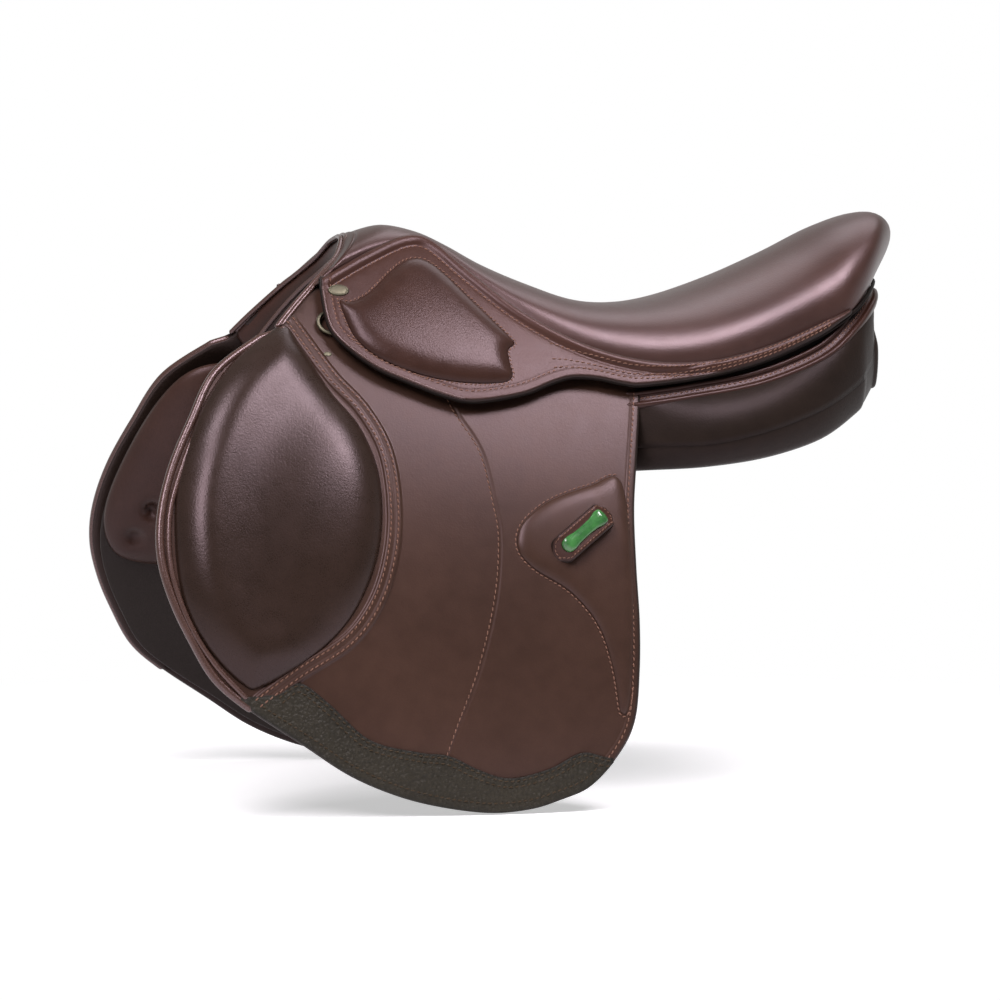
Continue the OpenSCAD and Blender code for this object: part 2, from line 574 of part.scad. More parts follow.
// Under the flap
module sweat_flap() color("dimgray") side_sheet(sweat_outline, sweat_in, sweat_out);
block_outline = loop([for (s = block_shares) flap_pt(s)], 2);
module knee_block() color("gray") side_sheet(block_outline, sweat_out + lay, web_out);
strap_z = flap_top - strap_top_share * flap_height;
function strap_x(k) = flap_front - strap_shares[k] * flap_width;
strap_end = strap_z - strap_len;
module girth_strap(k) color("black") difference() {
    side_sheet([[strap_x(k) - strap_w / 2, strap_z], [strap_x(k) + strap_w / 2, strap_z],
        [strap_x(k) + strap_w / 2, strap_end + strap_tip], [strap_x(k), strap_end],
        [strap_x(k) - strap_w / 2, strap_end + strap_tip]], strap_in, rail_out);
    for (i = [0 : hole_count - 1])
        seat_on([strap_x(k), strap_end + hole_start + i * hole_pitch], strap_in - over)
            cylinder(r = hole_r, h = strap_t + 2 * over);
}
web_rise = 34;
web_rear = strap_x(1) - strap_w;
web_front = strap_x(0) + strap_w;
web_top = strap_z + web_rise;
web_low = strap_z - strap_w / 2;
module girth_web() color("khaki") side_sheet([[web_rear, web_low], [web_front, web_low], [web_front, web_top],
    [web_rear + strap_w * 3 / 4, web_top], [web_rear, strap_z + web_rise / 2]], web_in, web_out);
guard_drop = 50;
guard_len = 70;
guard_top = strap_z - guard_drop;
guard_low = guard_top - guard_len;
module buckle_guard() color("sienna") side_sheet([[web_rear, guard_top], [web_front, guard_top],
    [web_front, guard_low], [web_rear, guard_low]], web_in + lay / 2, web_out - lay / 2);

// Panels
sweat_rear = flap_front - flap_width;
function panel_y(s, z) = let (x = seat_pt(s)[0], y = s[4] * panel_half)
    x > sweat_rear + over ? min(y, side_y(z, panel_out)) : y;
function panel_ring(s) = let (x = seat_pt(s)[0], a = s[1] * panel_half, top = s[2] * panel_lift,
    rim = s[3] * panel_lift, mid = s[5] * panel_lift, low = s[6] * panel_lift, inner = s[7] * panel_lift,
    y = panel_y(s, mid), y_rim = min(side_y(rim, panel_out), round_share * y),
    step = mix(mid, rim, step_share))
    [for (p = [[a, top], [mix(a, y_rim, half_share), mix(top, rim, half_share) + crest_share * panel_lift],
    [y_rim, rim], [mix(y_rim, panel_y(s, step), bulge_share), step], [y, mid],
    [round_share * y, mix(low, mid, turn_share)], [sole_share * y, low],
    [mix(a, y, half_share), mix(inner, low, step_share)], [a + inner_share * panel_half, inner],
    [a, mix(top, inner, half_share)]]) [x, p[0], p[1]]];
panel_rings = [for (s = panel_shares) panel_ring(s)];
panel_flow = [for (j = [0 : len(panel_rings[0]) - 1]) curve([for (r = panel_rings) r[j]], 2)];
panel_skin = [for (i = [0 : len(panel_flow[0]) - 1]) [for (f = panel_flow) f[i]]];
module panel() color("saddlebrown") skin(panel_skin);
module panel_lobe() color("saddlebrown") difference() {
    crown(loop([for (s = lobe_shares) flap_pt(s)], 2), lobe_out, lobe_rise, -1);
    difference() {
        side_rod(side_r + reach);
        side_rod(lobe_out);
    }
}
module front_facing() color("sienna") {
    side = concat([for (j = [0 : cols]) rib(0, j / cols) + [facing_lead, 0, 0]],
        [for (s = facing_front_shares) let (p = seat_pt(s))
        [p[0] + facing_lead, side_y(p[1], side_r - roll_seat), p[1]]]);
    other = flip([for (i = [1 : len(side) - 1]) [side[i][0], -side[i][1], side[i][2]]]);
    roll(concat(other, side), roll_r, 8);
}
module rear_facing() color("sienna") {
    side = curve([for (s = facing_shares) let (p = seat_pt(s)) [p[0], s[2] * side_y(p[1], side_r), p[1]]], 2);
    roll(concat(side, [for (p = flip(side)) [p[0], -p[1], p[2]]]), facing_r, 8);
}
lining_rows = [for (i = [1 : len(panel_shares) - 3]) panel_shares[i]];
module channel_lining() color("gray") skin([for (s = lining_rows) let (x = seat_pt(s)[0],
    y = (s[1] + lining_share) * panel_half, z = s[2] * panel_lift + 2 * lay)
    [[x, y, z], [x, -y, z], [x, -y, z + lining_t], [x, y, z + lining_t]]]);

// Dee rings, chapes and nails
dee_leg = dee_w / 2;
sleeve_t = 1.1;
sleeve_r = wire_r + sleeve_t;
dee_r = side_r + lay + sleeve_r;
sleeve_len = dee_w / 2;
chape_len = dee_w;
dee_gap = 4;
dee_pt = [bar_pt[0] + bar_len / 2 + chape_len + dee_gap, bar_pt[1]];
bend_r = dee_w / 5;
module dee() color("gold") seat_on(dee_pt, dee_r) {
    rotate([90, 0, 0]) cylinder(r = wire_r, h = dee_w - 2 * bend_r, center = true);
    for (y = [-1, 1]) translate([-bend_r, y * (dee_w / 2 - bend_r), 0]) {
        rotate([0, 0, y > 0 ? 0 : -90]) rotate_extrude(angle = 90) translate([bend_r, 0]) circle(wire_r);
        translate([0, y * bend_r, 0]) rotate([0, -90, 0]) cylinder(r = wire_r, h = dee_leg - bend_r);
    }
    translate([-dee_leg, 0, 0]) rotate([0, 0, 90]) rotate_extrude(angle = 180)
        translate([dee_w / 2, 0]) circle(wire_r);
}
module dee_chapes() color("sienna") both() seat_on(dee_pt, dee_r) difference() {
    union() {
        rotate([90, 0, 0]) cylinder(r = sleeve_r, h = sleeve_len, center = true);
        translate([0, -sleeve_len / 2, -sleeve_r]) cube([chape_len, sleeve_len, sleeve_r / 2]);
    }
    rotate([90, 0, 0]) cylinder(r = wire_r + slip, h = 2 * dee_w, center = true);
}
dome_share = 1.58;
module stud(r) {
    intersection() {
        cylinder(r = r, h = r);
        translate([0, 0, -r]) sphere(r * dome_share);
    }
}
module saddle_nails() color("gold") both() {
    seat_on(seat_pt(nail_share), skirt_out + lay) stud(nail_r);
    seat_on(seat_pt(stud_share), side_r + lay) stud(nail_r / 2);
}

tree_head();
tree_rail();  // tree_rail_left
mirrored() tree_rail();  // tree_rail_right
tree_cantle();
head_plate();
head_rivets();
stirrup_bar();  // stirrup_bar_left
mirrored() stirrup_bar();  // stirrup_bar_right
bar_rivets();
safety_catch();  // catch_left
mirrored() safety_catch();  // catch_right
catch_pins();
seat_web();
girth_web();  // girth_web_left
mirrored() girth_web();  // girth_web_right
seat_foam();
seat_cover();
seat_welt();
skirt_top();  // skirt_top_left
mirrored() skirt_top();  // skirt_top_right
skirt();  // skirt_left
mirrored() skirt();  // skirt_right
skirt_pad();  // skirt_pad_left
mirrored() skirt_pad();  // skirt_pad_right
flap_top();  // flap_top_left
mirrored() flap_top();  // flap_top_right
flap();  // flap_left
mirrored() flap();  // flap_right
knee_pad();  // knee_pad_left
mirrored() knee_pad();  // knee_pad_right
calf_pad();  // calf_pad_left
mirrored() calf_pad();  // calf_pad_right
toe_rim();  // toe_rim_left
mirrored() toe_rim();  // toe_rim_right
keeper();  // keeper_left
mirrored() keeper();  // keeper_right
keeper_plate();  // keeper_plate_left
mirrored() keeper_plate();  // keeper_plate_right
sweat_flap();  // sweat_flap_left
mirrored() sweat_flap();  // sweat_flap_right
knee_block();  // knee_block_left
mirrored() knee_block();  // knee_block_right
girth_strap(0);  // strap_front_left
mirrored() girth_strap(0);  // strap_front_right
girth_strap(1);  // strap_rear_left
mirrored() girth_strap(1);  // strap_rear_right
buckle_guard();  // buckle_guard_left
mirrored() buckle_guard();  // buckle_guard_right
panel();  // panel_left
mirrored() panel();  // panel_right
panel_lobe();  // panel_lobe_left
mirrored() panel_lobe();  // panel_lobe_right
front_facing();
rear_facing();
channel_lining();
dee();  // dee_left
mirrored() dee();  // dee_right
dee_chapes();
saddle_nails();
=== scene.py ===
"""Looks of a jumping saddle: leather, stitching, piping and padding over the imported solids."""
import json

import bpy
import numpy as np
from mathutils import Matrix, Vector
from mathutils.geometry import delaunay_2d_cdt

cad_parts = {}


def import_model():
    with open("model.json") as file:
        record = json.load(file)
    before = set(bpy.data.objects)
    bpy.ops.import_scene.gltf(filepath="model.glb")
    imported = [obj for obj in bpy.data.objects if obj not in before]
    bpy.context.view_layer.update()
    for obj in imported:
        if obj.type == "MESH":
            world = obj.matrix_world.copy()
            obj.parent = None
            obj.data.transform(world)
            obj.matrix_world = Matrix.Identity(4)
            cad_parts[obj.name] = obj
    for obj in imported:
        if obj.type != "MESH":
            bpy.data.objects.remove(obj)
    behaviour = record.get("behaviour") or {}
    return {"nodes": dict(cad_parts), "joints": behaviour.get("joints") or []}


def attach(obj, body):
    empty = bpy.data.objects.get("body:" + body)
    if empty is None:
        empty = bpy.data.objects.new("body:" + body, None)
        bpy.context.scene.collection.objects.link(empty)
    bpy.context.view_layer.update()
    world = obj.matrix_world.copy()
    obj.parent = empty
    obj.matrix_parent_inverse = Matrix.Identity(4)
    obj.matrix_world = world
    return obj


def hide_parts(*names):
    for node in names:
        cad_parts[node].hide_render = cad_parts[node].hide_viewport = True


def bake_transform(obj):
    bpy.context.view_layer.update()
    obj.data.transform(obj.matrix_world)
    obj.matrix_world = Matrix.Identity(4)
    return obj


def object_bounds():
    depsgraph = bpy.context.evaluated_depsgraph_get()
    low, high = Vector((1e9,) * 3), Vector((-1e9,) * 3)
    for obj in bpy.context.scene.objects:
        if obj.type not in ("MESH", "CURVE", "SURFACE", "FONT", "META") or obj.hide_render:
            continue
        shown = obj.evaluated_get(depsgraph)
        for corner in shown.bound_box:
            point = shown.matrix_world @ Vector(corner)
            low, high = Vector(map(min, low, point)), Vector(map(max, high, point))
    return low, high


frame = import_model()
cad_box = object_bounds()

MM = 0.001
HANDS = (("left", 1), ("right", -1))
MIRROR = (1, -1, 1)

# The sides are layers about one axis along X, as in the solids (mm)
SIDE_R = 566.0
AXIS_Y = 205.0 - SIDE_R
AXIS_Z = -267.0
FLAP_T = 5.0
SKIRT_IN = 572.5
SKIRT_T = 4.0
SKIRT_OUT = SKIRT_IN + SKIRT_T
SEAT_R = SKIRT_IN + SKIRT_T / 2
WEB_OUT = 560.6
WEB_T = 1.6
STRAP_OUT = 558.6
STRAP_T = 4.0
SWEAT_OUT = 552.0
SWEAT_T = 3.0
LOBE_OUT = 548.6
PANEL_OUT = 544.4

# Boxes that the shares below are taken of: front edge and length, top or dip and height (mm)
FLAP_BOX = (280.0, 334.0, 97.0, -365.0)
SEAT_BOX = (113.0, 415.0, 87.0, 70.0)
PANEL_HALF = 147.0
PANEL_LIFT = 80.0

FLAP_EDGE_SHARES = [
    (0.243, 0.106), (0.14, 0.173), (0.08, 0.266), (0.03, 0.36), (0.003, 0.447), (0, 0.523),
    (0.02, 0.597), (0.054, 0.668), (0.1, 0.742), (0.168, 0.797), (0.28, 0.866), (0.373, 0.923),
    (0.467, 0.962), (0.56, 0.986), (0.665, 1), (0.75, 0.995), (0.81, 0.98), (0.877, 0.955),
    (0.94, 0.896), (0.976, 0.833), (0.99, 0.74), (0.996, 0.645), (0.997, 0.55), (1.003, 0.447),
    (1.018, 0.362), (1.05, 0.22)]
FLAP_HEAD_SHARES = [
    (0.43, -0.77), (0.345, -0.64), (0.25, -0.33), (0.173, 0.06), (0.113, 0.4), (0.068, 0.44),
    (-0.01, 0.26), (-0.092, 0.11), (-0.138, -0.12), (-0.166, -0.3), (-0.18, -0.36)]
KNEE_SHARES = [
    (0.3, 0.085), (0.33, 0.125), (0.38, 0.21), (0.434, 0.277), (0.464, 0.36), (0.464, 0.455),
    (0.44, 0.545), (0.383, 0.638), (0.296, 0.71), (0.2, 0.757), (0.16, 0.755), (0.09, 0.688),
    (0.044, 0.6), (0.032, 0.49), (0.045, 0.38), (0.093, 0.266), (0.156, 0.18), (0.225, 0.123)]
KNEE_RIM_SHARES = [
    (0.314, 0.079), (0.383, 0.181), (0.443, 0.247), (0.482, 0.323), (0.491, 0.416), (0.479, 0.51),
    (0.443, 0.601), (0.38, 0.674), (0.275, 0.732), (0.19, 0.785)]
FRONT_ROLL_SHARES = [
    (0.296, 0.093), (0.249, 0.121), (0.165, 0.182), (0.093, 0.285), (0.039, 0.396), (0.021, 0.468),
    (0.024, 0.551), (0.055, 0.641), (0.103, 0.715), (0.162, 0.775)]
FLAP_SEAM_SHARES = [
    (0.62, 0.19), (0.641, 0.247), (0.686, 0.323), (0.704, 0.419), (0.71, 0.493), (0.692, 0.605),
    (0.65, 0.734), (0.605, 0.833), (0.581, 0.89)]
CALF_SHARES = [
    (0.98, 0.382), (0.91, 0.392), (0.82, 0.42), (0.758, 0.463), (0.744, 0.508), (0.775, 0.547),
    (0.85, 0.592), (0.905, 0.655), (0.932, 0.737), (0.945, 0.82), (0.965, 0.8), (0.98, 0.68),
    (0.988, 0.53)]
RIM_SHARES = [
    (0.23, 0.77), (0.275, 0.75), (0.335, 0.79), (0.416, 0.857), (0.518, 0.882), (0.58, 0.89),
    (0.644, 0.918), (0.707, 0.934), (0.79, 0.918), (0.857, 0.89), (0.916, 0.9), (1.03, 0.92)]
LOBE_SHARES = [
    (0.42, 0.16), (0.29, 0.125), (0.195, 0.14), (0.125, 0.205), (0.06, 0.32), (0.022, 0.425),
    (0.026, 0.5), (0.07, 0.546), (0.18, 0.558), (0.3, 0.52), (0.38, 0.44), (0.42, 0.29)]
BLOCK_SHARES = [
    (0.22, 0.18), (0.13, 0.31), (0.08, 0.43), (0.07, 0.53), (0.12, 0.62), (0.19, 0.7), (0.28, 0.68),
    (0.37, 0.58), (0.42, 0.46), (0.41, 0.35), (0.36, 0.24)]
SWEAT_TOP_SHARES = [(0.985, 0.31), (0.84, 0.245), (0.75, 0.235), (0.49, 0.235), (0.39, 0.2), (0.29, 0.13)]
SWEAT_INSET = 0.97
RIDGE_SHARES = [
    (0, 0.71), (0.05, 0.785), (0.108, 0.715), (0.16, 0.56), (0.22, 0.37), (0.296, 0.19), (0.383, 0.03),
    (0.477, 0.005), (0.573, 0.09), (0.677, 0.29), (0.778, 0.56), (0.875, 0.86), (0.95, 0.99),
    (0.993, 0.8), (0.968, 0.37)]
SEAT_EDGE_SHARES = [
    (-0.092, 0.143, 1), (-0.01, 0.4, 1), (0.067, 0.586, 1), (0.118, 0.54, 1), (0.178, 0.2, 1),
    (0.253, -0.186, 1), (0.35, -0.507, 1), (0.453, -0.67, 1), (0.56, -0.675, 1), (0.672, -0.53, 1),
    (0.788, -0.27, 1), (0.85, -0.11, 1), (0.897, 0.12, 0.92), (0.938, 0.25, 0.52), (0.956, 0.3, 0.14)]
SKIRT_SHARES = [
    (-0.094, 0.1), (-0.094, -0.23), (-0.086, -0.45), (-0.055, -0.65), (-0.017, -0.81), (0.024, -0.92),
    (0.09, -1.07), (0.142, -1.13), (0.227, -1.06), (0.285, -0.94), (0.32, -0.89), (0.364, -0.9),
    (0.407, -0.95), (0.443, -0.965), (0.55, -0.885), (0.665, -0.725), (0.772, -0.48), (0.83, -0.3),
    (0.847, -0.23), (0.846, -0.17)]
SKIRT_PAD_SHARES = [
    (-0.067, -0.13), (-0.05, -0.155), (-0.014, -0.06), (0.024, 0.13), (0.055, 0.26), (0.08, 0.3),
    (0.1, 0.27), (0.123, 0.16), (0.166, -0.13), (0.22, -0.49), (0.228, -0.57), (0.214, -0.63),
    (0.214, -0.77), (0.215, -0.89), (0.195, -0.955), (0.127, -0.955), (0.06, -0.885), (-0.007, -0.73),
    (-0.045, -0.545), (-0.06, -0.34)]
FACING_SHARES = [
    (0.415, -1.06, 0.97), (0.454, -1.035, 0.995), (0.53, -0.97, 1), (0.66, -0.83, 1), (0.78, -0.57, 1),
    (0.85, -0.27, 1), (0.9, 0.0, 0.9), (0.935, 0.15, 0.52), (0.95, 0.2, 0.2)]
ARCH_SHARES = [
    (-0.018, 0.67, 0), (-0.024, 0.62, 0.54), (-0.04, 0.464, 0.82), (-0.064, 0.32, 0.945),
    (-0.094, 0.157, 1), (-0.139, -0.107, 1), (-0.169, -0.3, 1)]
HEAD_SHARES = [
    (-0.06, -0.67, 1), (-0.046, -0.36, 1), (-0.012, 0.07, 0.97), (0.027, 0.35, 0.79), (0.041, 0.45, 0)]
# Panel stations: span share, then shares of panel width and height, inner edge to bottom
PANEL_SHARES = [
    (-0.05, 0.37, 0.63, 0.38, 0.7, 0.13, -0.1, 0.3), (0.03, 0.31, 0.7, 0.35, 0.755, 0.03, -0.28, 0.33),
    (0.13, 0.27, 0.63, 0.25, 0.79, -0.08, -0.38, 0.23),
    (0.27, 0.23, 0.5, 0.1, 0.82, -0.18, -0.45, 0.08),
    (0.38, 0.21, 0.43, 0.08, 0.83, -0.23, -0.46, 0.03),
    (0.465, 0.2, 0.4, 0.15, 0.95, -0.2, -0.44, 0.03), (0.56, 0.2, 0.4, 0.2, 1, -0.18, -0.41, 0.05),
    (0.67, 0.19, 0.5, 0.31, 0.96, -0.05, -0.33, 0.15),
    (0.78, 0.18, 0.68, 0.48, 0.85, 0.15, -0.17, 0.33), (0.86, 0.18, 0.88, 0.8, 0.72, 0.38, 0.06, 0.48),
    (0.88, 0.18, 0.95, 0.89, 0.66, 0.49, 0.15, 0.54), (0.905, 0.19, 0.99, 0.96, 0.57, 0.6, 0.28, 0.59)]


# Lines and outlines, seen from the side: points (x, z) in mm
LINE_STEP = 3.0
SEAM_STEP = 2.0
FINE_STEP = 1.0
TINY = 1e-9


def in_box(shares, box):
    """Points of a side view from shares of a box."""
    return np.array([(box[0] - s[0] * box[1], box[2] + s[1] * box[3]) for s in shares])


def mix(a, b, t):
    return a + (b - a) * t


def smooth(t):
    """From 0 to 1 with soft ends."""
    t = np.clip(t, 0, 1)
    return t * t * (3 - 2 * t)


def unit(v):
    return v / np.maximum(np.linalg.norm(v, axis=-1, keepdims=True), TINY)


def bent(points, steps=10, closed=False):
    """A smooth curve through points."""
    p = np.asarray(points, float)
    n = len(p)
    t = np.linspace(0, 1, steps, endpoint=False)[:, None]
    spans = []
    for i in range(n if closed else n - 1):
        at = [i - 1, i, i + 1, i + 2]
        a, b, c, d = (p[k % n] if closed else p[min(max(k, 0), n - 1)] for k in at)
        spans.append((2 * b + (c - a) * t + (2 * a - 5 * b + 4 * c - d) * t ** 2
                      + (3 * b - 3 * c + d - a) * t ** 3) / 2)
    return np.vstack(spans if closed else spans + [p[-1:]])


def drawn(shares, box, closed=False):
    """A smooth line of the side view through shares of a box."""
    return bent(in_box(shares, box), closed=closed)


def rect(x0, x1, z0, z1):
    return np.array([(x0, z0), (x1, z0), (x1, z1), (x0, z1)])


def looped(line):
    """A closed outline with its first point again at its end."""
    return np.vstack([line, line[:1]])


def spaced(line, gap=LINE_STEP, closed=False):
    """The same line with its points about gap apart."""
    line = looped(line) if closed else line
    run = np.concatenate([[0], np.cumsum(np.linalg.norm(np.diff(line, axis=0), axis=1))])
    at = np.linspace(0, run[-1], max(int(round(run[-1] / gap)), 3) + 1)
    out = np.column_stack([np.interp(at, run, line[:, k]) for k in range(line.shape[1])])
    return out[:-1] if closed else out


def picked(line, count):
    """As many of a line's points, from its first to its last."""
    return line[np.linspace(0, len(line) - 1, count).astype(int)]


def evenly(line, count):
    """As many points along a line, evenly apart."""
    return picked(spaced(line, FINE_STEP), count)


def beside(line, distance):
    """The line moved sideways, to its left for a distance above 0."""
    t = unit(np.gradient(line, axis=0))
    return line + distance * np.column_stack([-t[:, 1], t[:, 0]])


def rows_beside(line, distances, gap=LINE_STEP):
    """Rows of points beside a line."""
    return [spaced(beside(line, d), gap) for d in distances]


def both_ways(distances):
    """The distances to one side of a line, on it, and to its other side."""
    return (*[-d for d in distances[::-1]], 0, *distances)


def inset(outline, depth):
    """A closed outline moved inward."""
    t = unit(np.roll(outline, -1, axis=0) - np.roll(outline, 1, axis=0))
    nxt = np.roll(outline, -1, axis=0)
    turn = np.sign((outline[:, 0] * nxt[:, 1] - outline[:, 1] * nxt[:, 0]).sum())
    return outline + turn * depth * np.column_stack([-t[:, 1], t[:, 0]])


def away(points, line):
    """Distance of each point from a line."""
    a, ab = line[:-1], np.diff(line, axis=0)
    best = np.full(len(points), np.inf)
    for start, way in zip(a, ab):
        t = np.clip(((points - start) @ way) / max(way @ way, TINY), 0, 1)
        best = np.minimum(best, np.linalg.norm(points - start - t[:, None] * way, axis=1))
    return best


def inside(points, outline):
    """Which points lie inside an outline."""
    x, z = points[:, :1], points[:, 1:]
    (x0, z0), (x1, z1) = outline.T, np.roll(outline, -1, axis=0).T
    level = np.where(z1 == z0, TINY, z1 - z0)
    return (((z0 > z) != (z1 > z)) & (x < (x1 - x0) * (z - z0) / level + x0)).sum(1) % 2 == 1


def within(line, outline, margin):
    """The part of a line that lies inside an outline, clear of its edge."""
    return line[inside(line, outline) & (away(line, looped(outline)) > margin)]


def between(line, low, high, axis=0):
    """The part of a line whose x (or z) lies between two values."""
    return line[(line[:, axis] >= low) & (line[:, axis] <= high)]


# From the side view into space
def side_y(z, r):
    """How far out the left side is at a height, for a layer's radius."""
    return AXIS_Y + np.sqrt(r * r - (z - AXIS_Z) ** 2)


def side(points, r):
    """Points of the side view, laid on the left side at a radius."""
    tilt = np.arcsin((points[:, 1] - AXIS_Z) / SIDE_R)
    return np.column_stack([points[:, 0], AXIS_Y + r * np.cos(tilt), AXIS_Z + r * np.sin(tilt)])


def outward(points):
    """Direction out of the left side at points in space."""
    return unit(points * (0, 1, 1) - (0, AXIS_Y, AXIS_Z))


def spot(p, r):
    """One place of the left side at a radius: its centre, and the directions out and up."""
    centre = side(p[None], r)[0]
    out = outward(centre[None])[0]
    return centre, out, np.array([0, -out[2], out[1]])


def on_side(r, lift=None):
    """A layer of the left side, which lays points at a height above it."""
    return lambda p, h=0: side(p, r + h + (lift(p) if lift else 0))


def wrapped(shares, r):
    """Points in space from shares of the seat's box; the third is a share of the way out to the side."""
    flat = in_box(shares, SEAT_BOX)
    return np.column_stack([flat[:, 0], [s[2] for s in shares] * side_y(flat[:, 1], r), flat[:, 1]])


# Shapes: points (mm), faces, and how near the cut edge each point is; on the arch lining the same values
# hold painted shade
class Shape:
    def __init__(self, points, faces, edge=None):
        self.points = np.asarray(points, float)
        self.faces = [tuple(int(i) for i in f) for f in faces]
        self.edge = np.zeros(len(self.points)) if edge is None else edge

    def turned_out(self):
        """The same closed shape with all its faces to the outside."""
        fans = [(f[0], f[i], f[i + 1]) for f in self.faces for i in range(1, len(f) - 1)]
        a, b, c = (self.points - self.points.mean(0))[np.array(fans)].transpose(1, 0, 2)
        if (a * np.cross(b, c)).sum() < 0:
            self.faces = [f[::-1] for f in self.faces]
        return self

    def mirrored(self, way):
        if way > 0:
            return self
        return Shape(self.points * MIRROR, [f[::-1] for f in self.faces], self.edge)


def joined(*shapes):
    """Several shapes as one."""
    faces, start = [], 0
    for s in shapes:
        faces += [tuple(i + start for i in f) for f in s.faces]
        start += len(s.points)
    return Shape(np.vstack([s.points for s in shapes]), faces, np.concatenate([s.edge for s in shapes]))


# Steps of cut edges; the room that rings, grid and rows leave, as shares of their depth or gap
EDGE_STEP = 3.0
HOLE_STEP = 1.5
RING_ROOM = 0.9
GRID_ROOM = 0.5
ROW_ROOM = 0.35
GRID_ROW = 0.866
WELD = 1e-4


def staggered(outline, gap):
    """Points over an outline's box, in staggered rows."""
    low, high = outline.min(0), outline.max(0)
    xs, zs = np.arange(low[0], high[0], gap), np.arange(low[1], high[1], gap * GRID_ROW)
    return np.array([(x + (k % 2) * gap / 2, z) for k, z in enumerate(zs) for x in xs])


def in_loops(points, loops):
    """Which points lie inside the first loop and outside the holes."""
    keep = inside(points, loops[0])
    for hole in loops[1:]:
        keep &= ~inside(points, hole)
    return keep


def from_loops(points, loops):
    """Distance of each point from the nearest loop."""
    return np.min([away(points, looped(loop)) for loop in loops], axis=0)


def cut(outline, gap, rings=(), rows=(), holes=()):
    """Triangles that fill an outline: flat points, triangles, distance of each point from the edge."""
    loops = [spaced(outline, min(gap, EDGE_STEP), True)] + [spaced(h, HOLE_STEP, True) for h in holes]
    links, start = [], 0
    for loop in loops:
        links += [(start + i, start + (i + 1) % len(loop)) for i in range(len(loop))]
        start += len(loop)

    def free(points, least):
        return in_loops(points, loops) & (from_loops(points, loops) > least)

    parts = [np.vstack(loops)]
    for depth in rings:
        ring = inset(loops[0], depth)
        parts.append(ring[free(ring, RING_ROOM * depth)])
    start = sum(len(part) for part in parts)
    last = max(rings, default=0)
    grid = staggered(loops[0], gap)
    grid = grid[free(grid, last + gap * GRID_ROOM)]
    for row in rows:
        keep = free(row, last)
        number = start + np.cumsum(keep) - 1
        runs = [i for i in range(len(row) - 1) if keep[i] and keep[i + 1]]
        links += [(int(number[i]), int(number[i + 1])) for i in runs]
        start += int(keep.sum())
        parts.append(row[keep])
        grid = grid[away(grid, row) > gap * ROW_ROOM]
    flat, _, faces, *_ = delaunay_2d_cdt([Vector(p) for p in np.vstack([*parts, grid])], links, [], 1, WELD)
    flat = np.array([tuple(v) for v in flat])
    tris = np.array([f for f in faces if len(f) == 3])
    return flat, tris[in_loops(flat[tris].mean(1), loops)], from_loops(flat, loops)


def doubled(front, back, tris, border):
    """A closed shape from a front and a back face that share their border."""
    n = len(front)
    number = np.arange(n)
    number[~border] = n + np.arange((~border).sum())
    return np.vstack([front, back[~border]]), [t[::-1] for t in tris] + [number[t] for t in tris]


ON_EDGE = 1e-3
BACK_DARK = 0.8
ROUND_SHARES = (0.1, 0.35, 0.7, 1.0)


def leaf(outline, place, thick, gap=4.0, soft=2.0, rows=(), holes=(), dress=2.0):
    """A leather sheet with its outer face at place; soft rounds its edges and dress dyes them dark."""
    flat, tris, d = cut(outline, gap, [soft * k for k in ROUND_SHARES], rows, holes)
    swell = thick / 2 * np.sqrt(1 - (1 - np.clip(d / soft, 0, 1)) ** 2)
    border = d < ON_EDGE
    points, faces = doubled(place(flat, swell - thick / 2), place(flat, -swell - thick / 2), tris, border)
    edge = 1 - smooth((d - dress / 2) / dress)
    return Shape(points, faces, np.concatenate([edge, np.maximum(edge, BACK_DARK)[~border]])).turned_out()


def dome(flat, tris, border):
    """Height of a skin blown up over an outline, 1 at the highest point."""
    corner = flat[tris]
    facing = np.roll(corner, -1, axis=1) - np.roll(corner, 1, axis=1)
    first, second = corner[:, 1] - corner[:, 0], corner[:, 2] - corner[:, 0]
    double = np.maximum(np.abs(first[:, 0] * second[:, 1] - first[:, 1] * second[:, 0]), 1e-6)
    stiff, load = np.zeros((len(flat), len(flat))), np.zeros(len(flat))
    for i in range(3):
        np.add.at(load, tris[:, i], double / 6)
        for j in range(3):
            np.add.at(stiff, (tris[:, i], tris[:, j]), (facing[:, i] * facing[:, j]).sum(1) / (2 * double))
    height, free = np.zeros(len(flat)), ~border
    height[free] = np.linalg.solve(stiff[np.ix_(free, free)], load[free])
    return np.clip(height / height.max(), 0, None)


PAD_RINGS = (0.5, 1.3, 2.6, 4.4)
LIP_SHARE = 0.75
LIP_POWER = 0.3
BACK_SLOPE = 4.0
SEAM_W = 1.0


def pad(outline, place, rise, gap=4.0, power=0.5, sink=1.0, way=1, swell=None, lip=None):
    """A crowned pad sewn down along an outline; the second value marks the points that are sewn."""
    flat, tris, d = cut(outline, gap, PAD_RINGS)
    border = d < ON_EDGE
    crown = dome(flat, tris, border) ** power
    if lip:
        rounded = np.sqrt(1 - (1 - np.clip(d / lip, 0, 1)) ** 2)
        crown = mix(crown, crown ** LIP_POWER * rounded, LIP_SHARE)
    crown *= rise * (swell(flat) if swell else 1)
    under = -way * sink * smooth(d / BACK_SLOPE)
    points, faces = doubled(place(flat, way * crown), place(flat, under), tris, border)
    sewn = np.ones(len(points), bool)
    sewn[:len(flat)] = d < SEAM_W
    return Shape(points, faces).turned_out(), sewn


def loft(rings):
    """A closed shape through rings of equally many points."""
    m, n = len(rings), len(rings[0])
    points = np.vstack([*rings, np.mean(rings[0], axis=0), np.mean(rings[-1], axis=0)])
    faces = []
    for j in range(n):
        k = (j + 1) % n
        faces += [(i * n + j, i * n + k, i * n + n + k, i * n + n + j) for i in range(m - 1)]
        faces += [(j, m * n, k), ((m - 1) * n + k, m * n + 1, (m - 1) * n + j)]
    return Shape(points, faces)


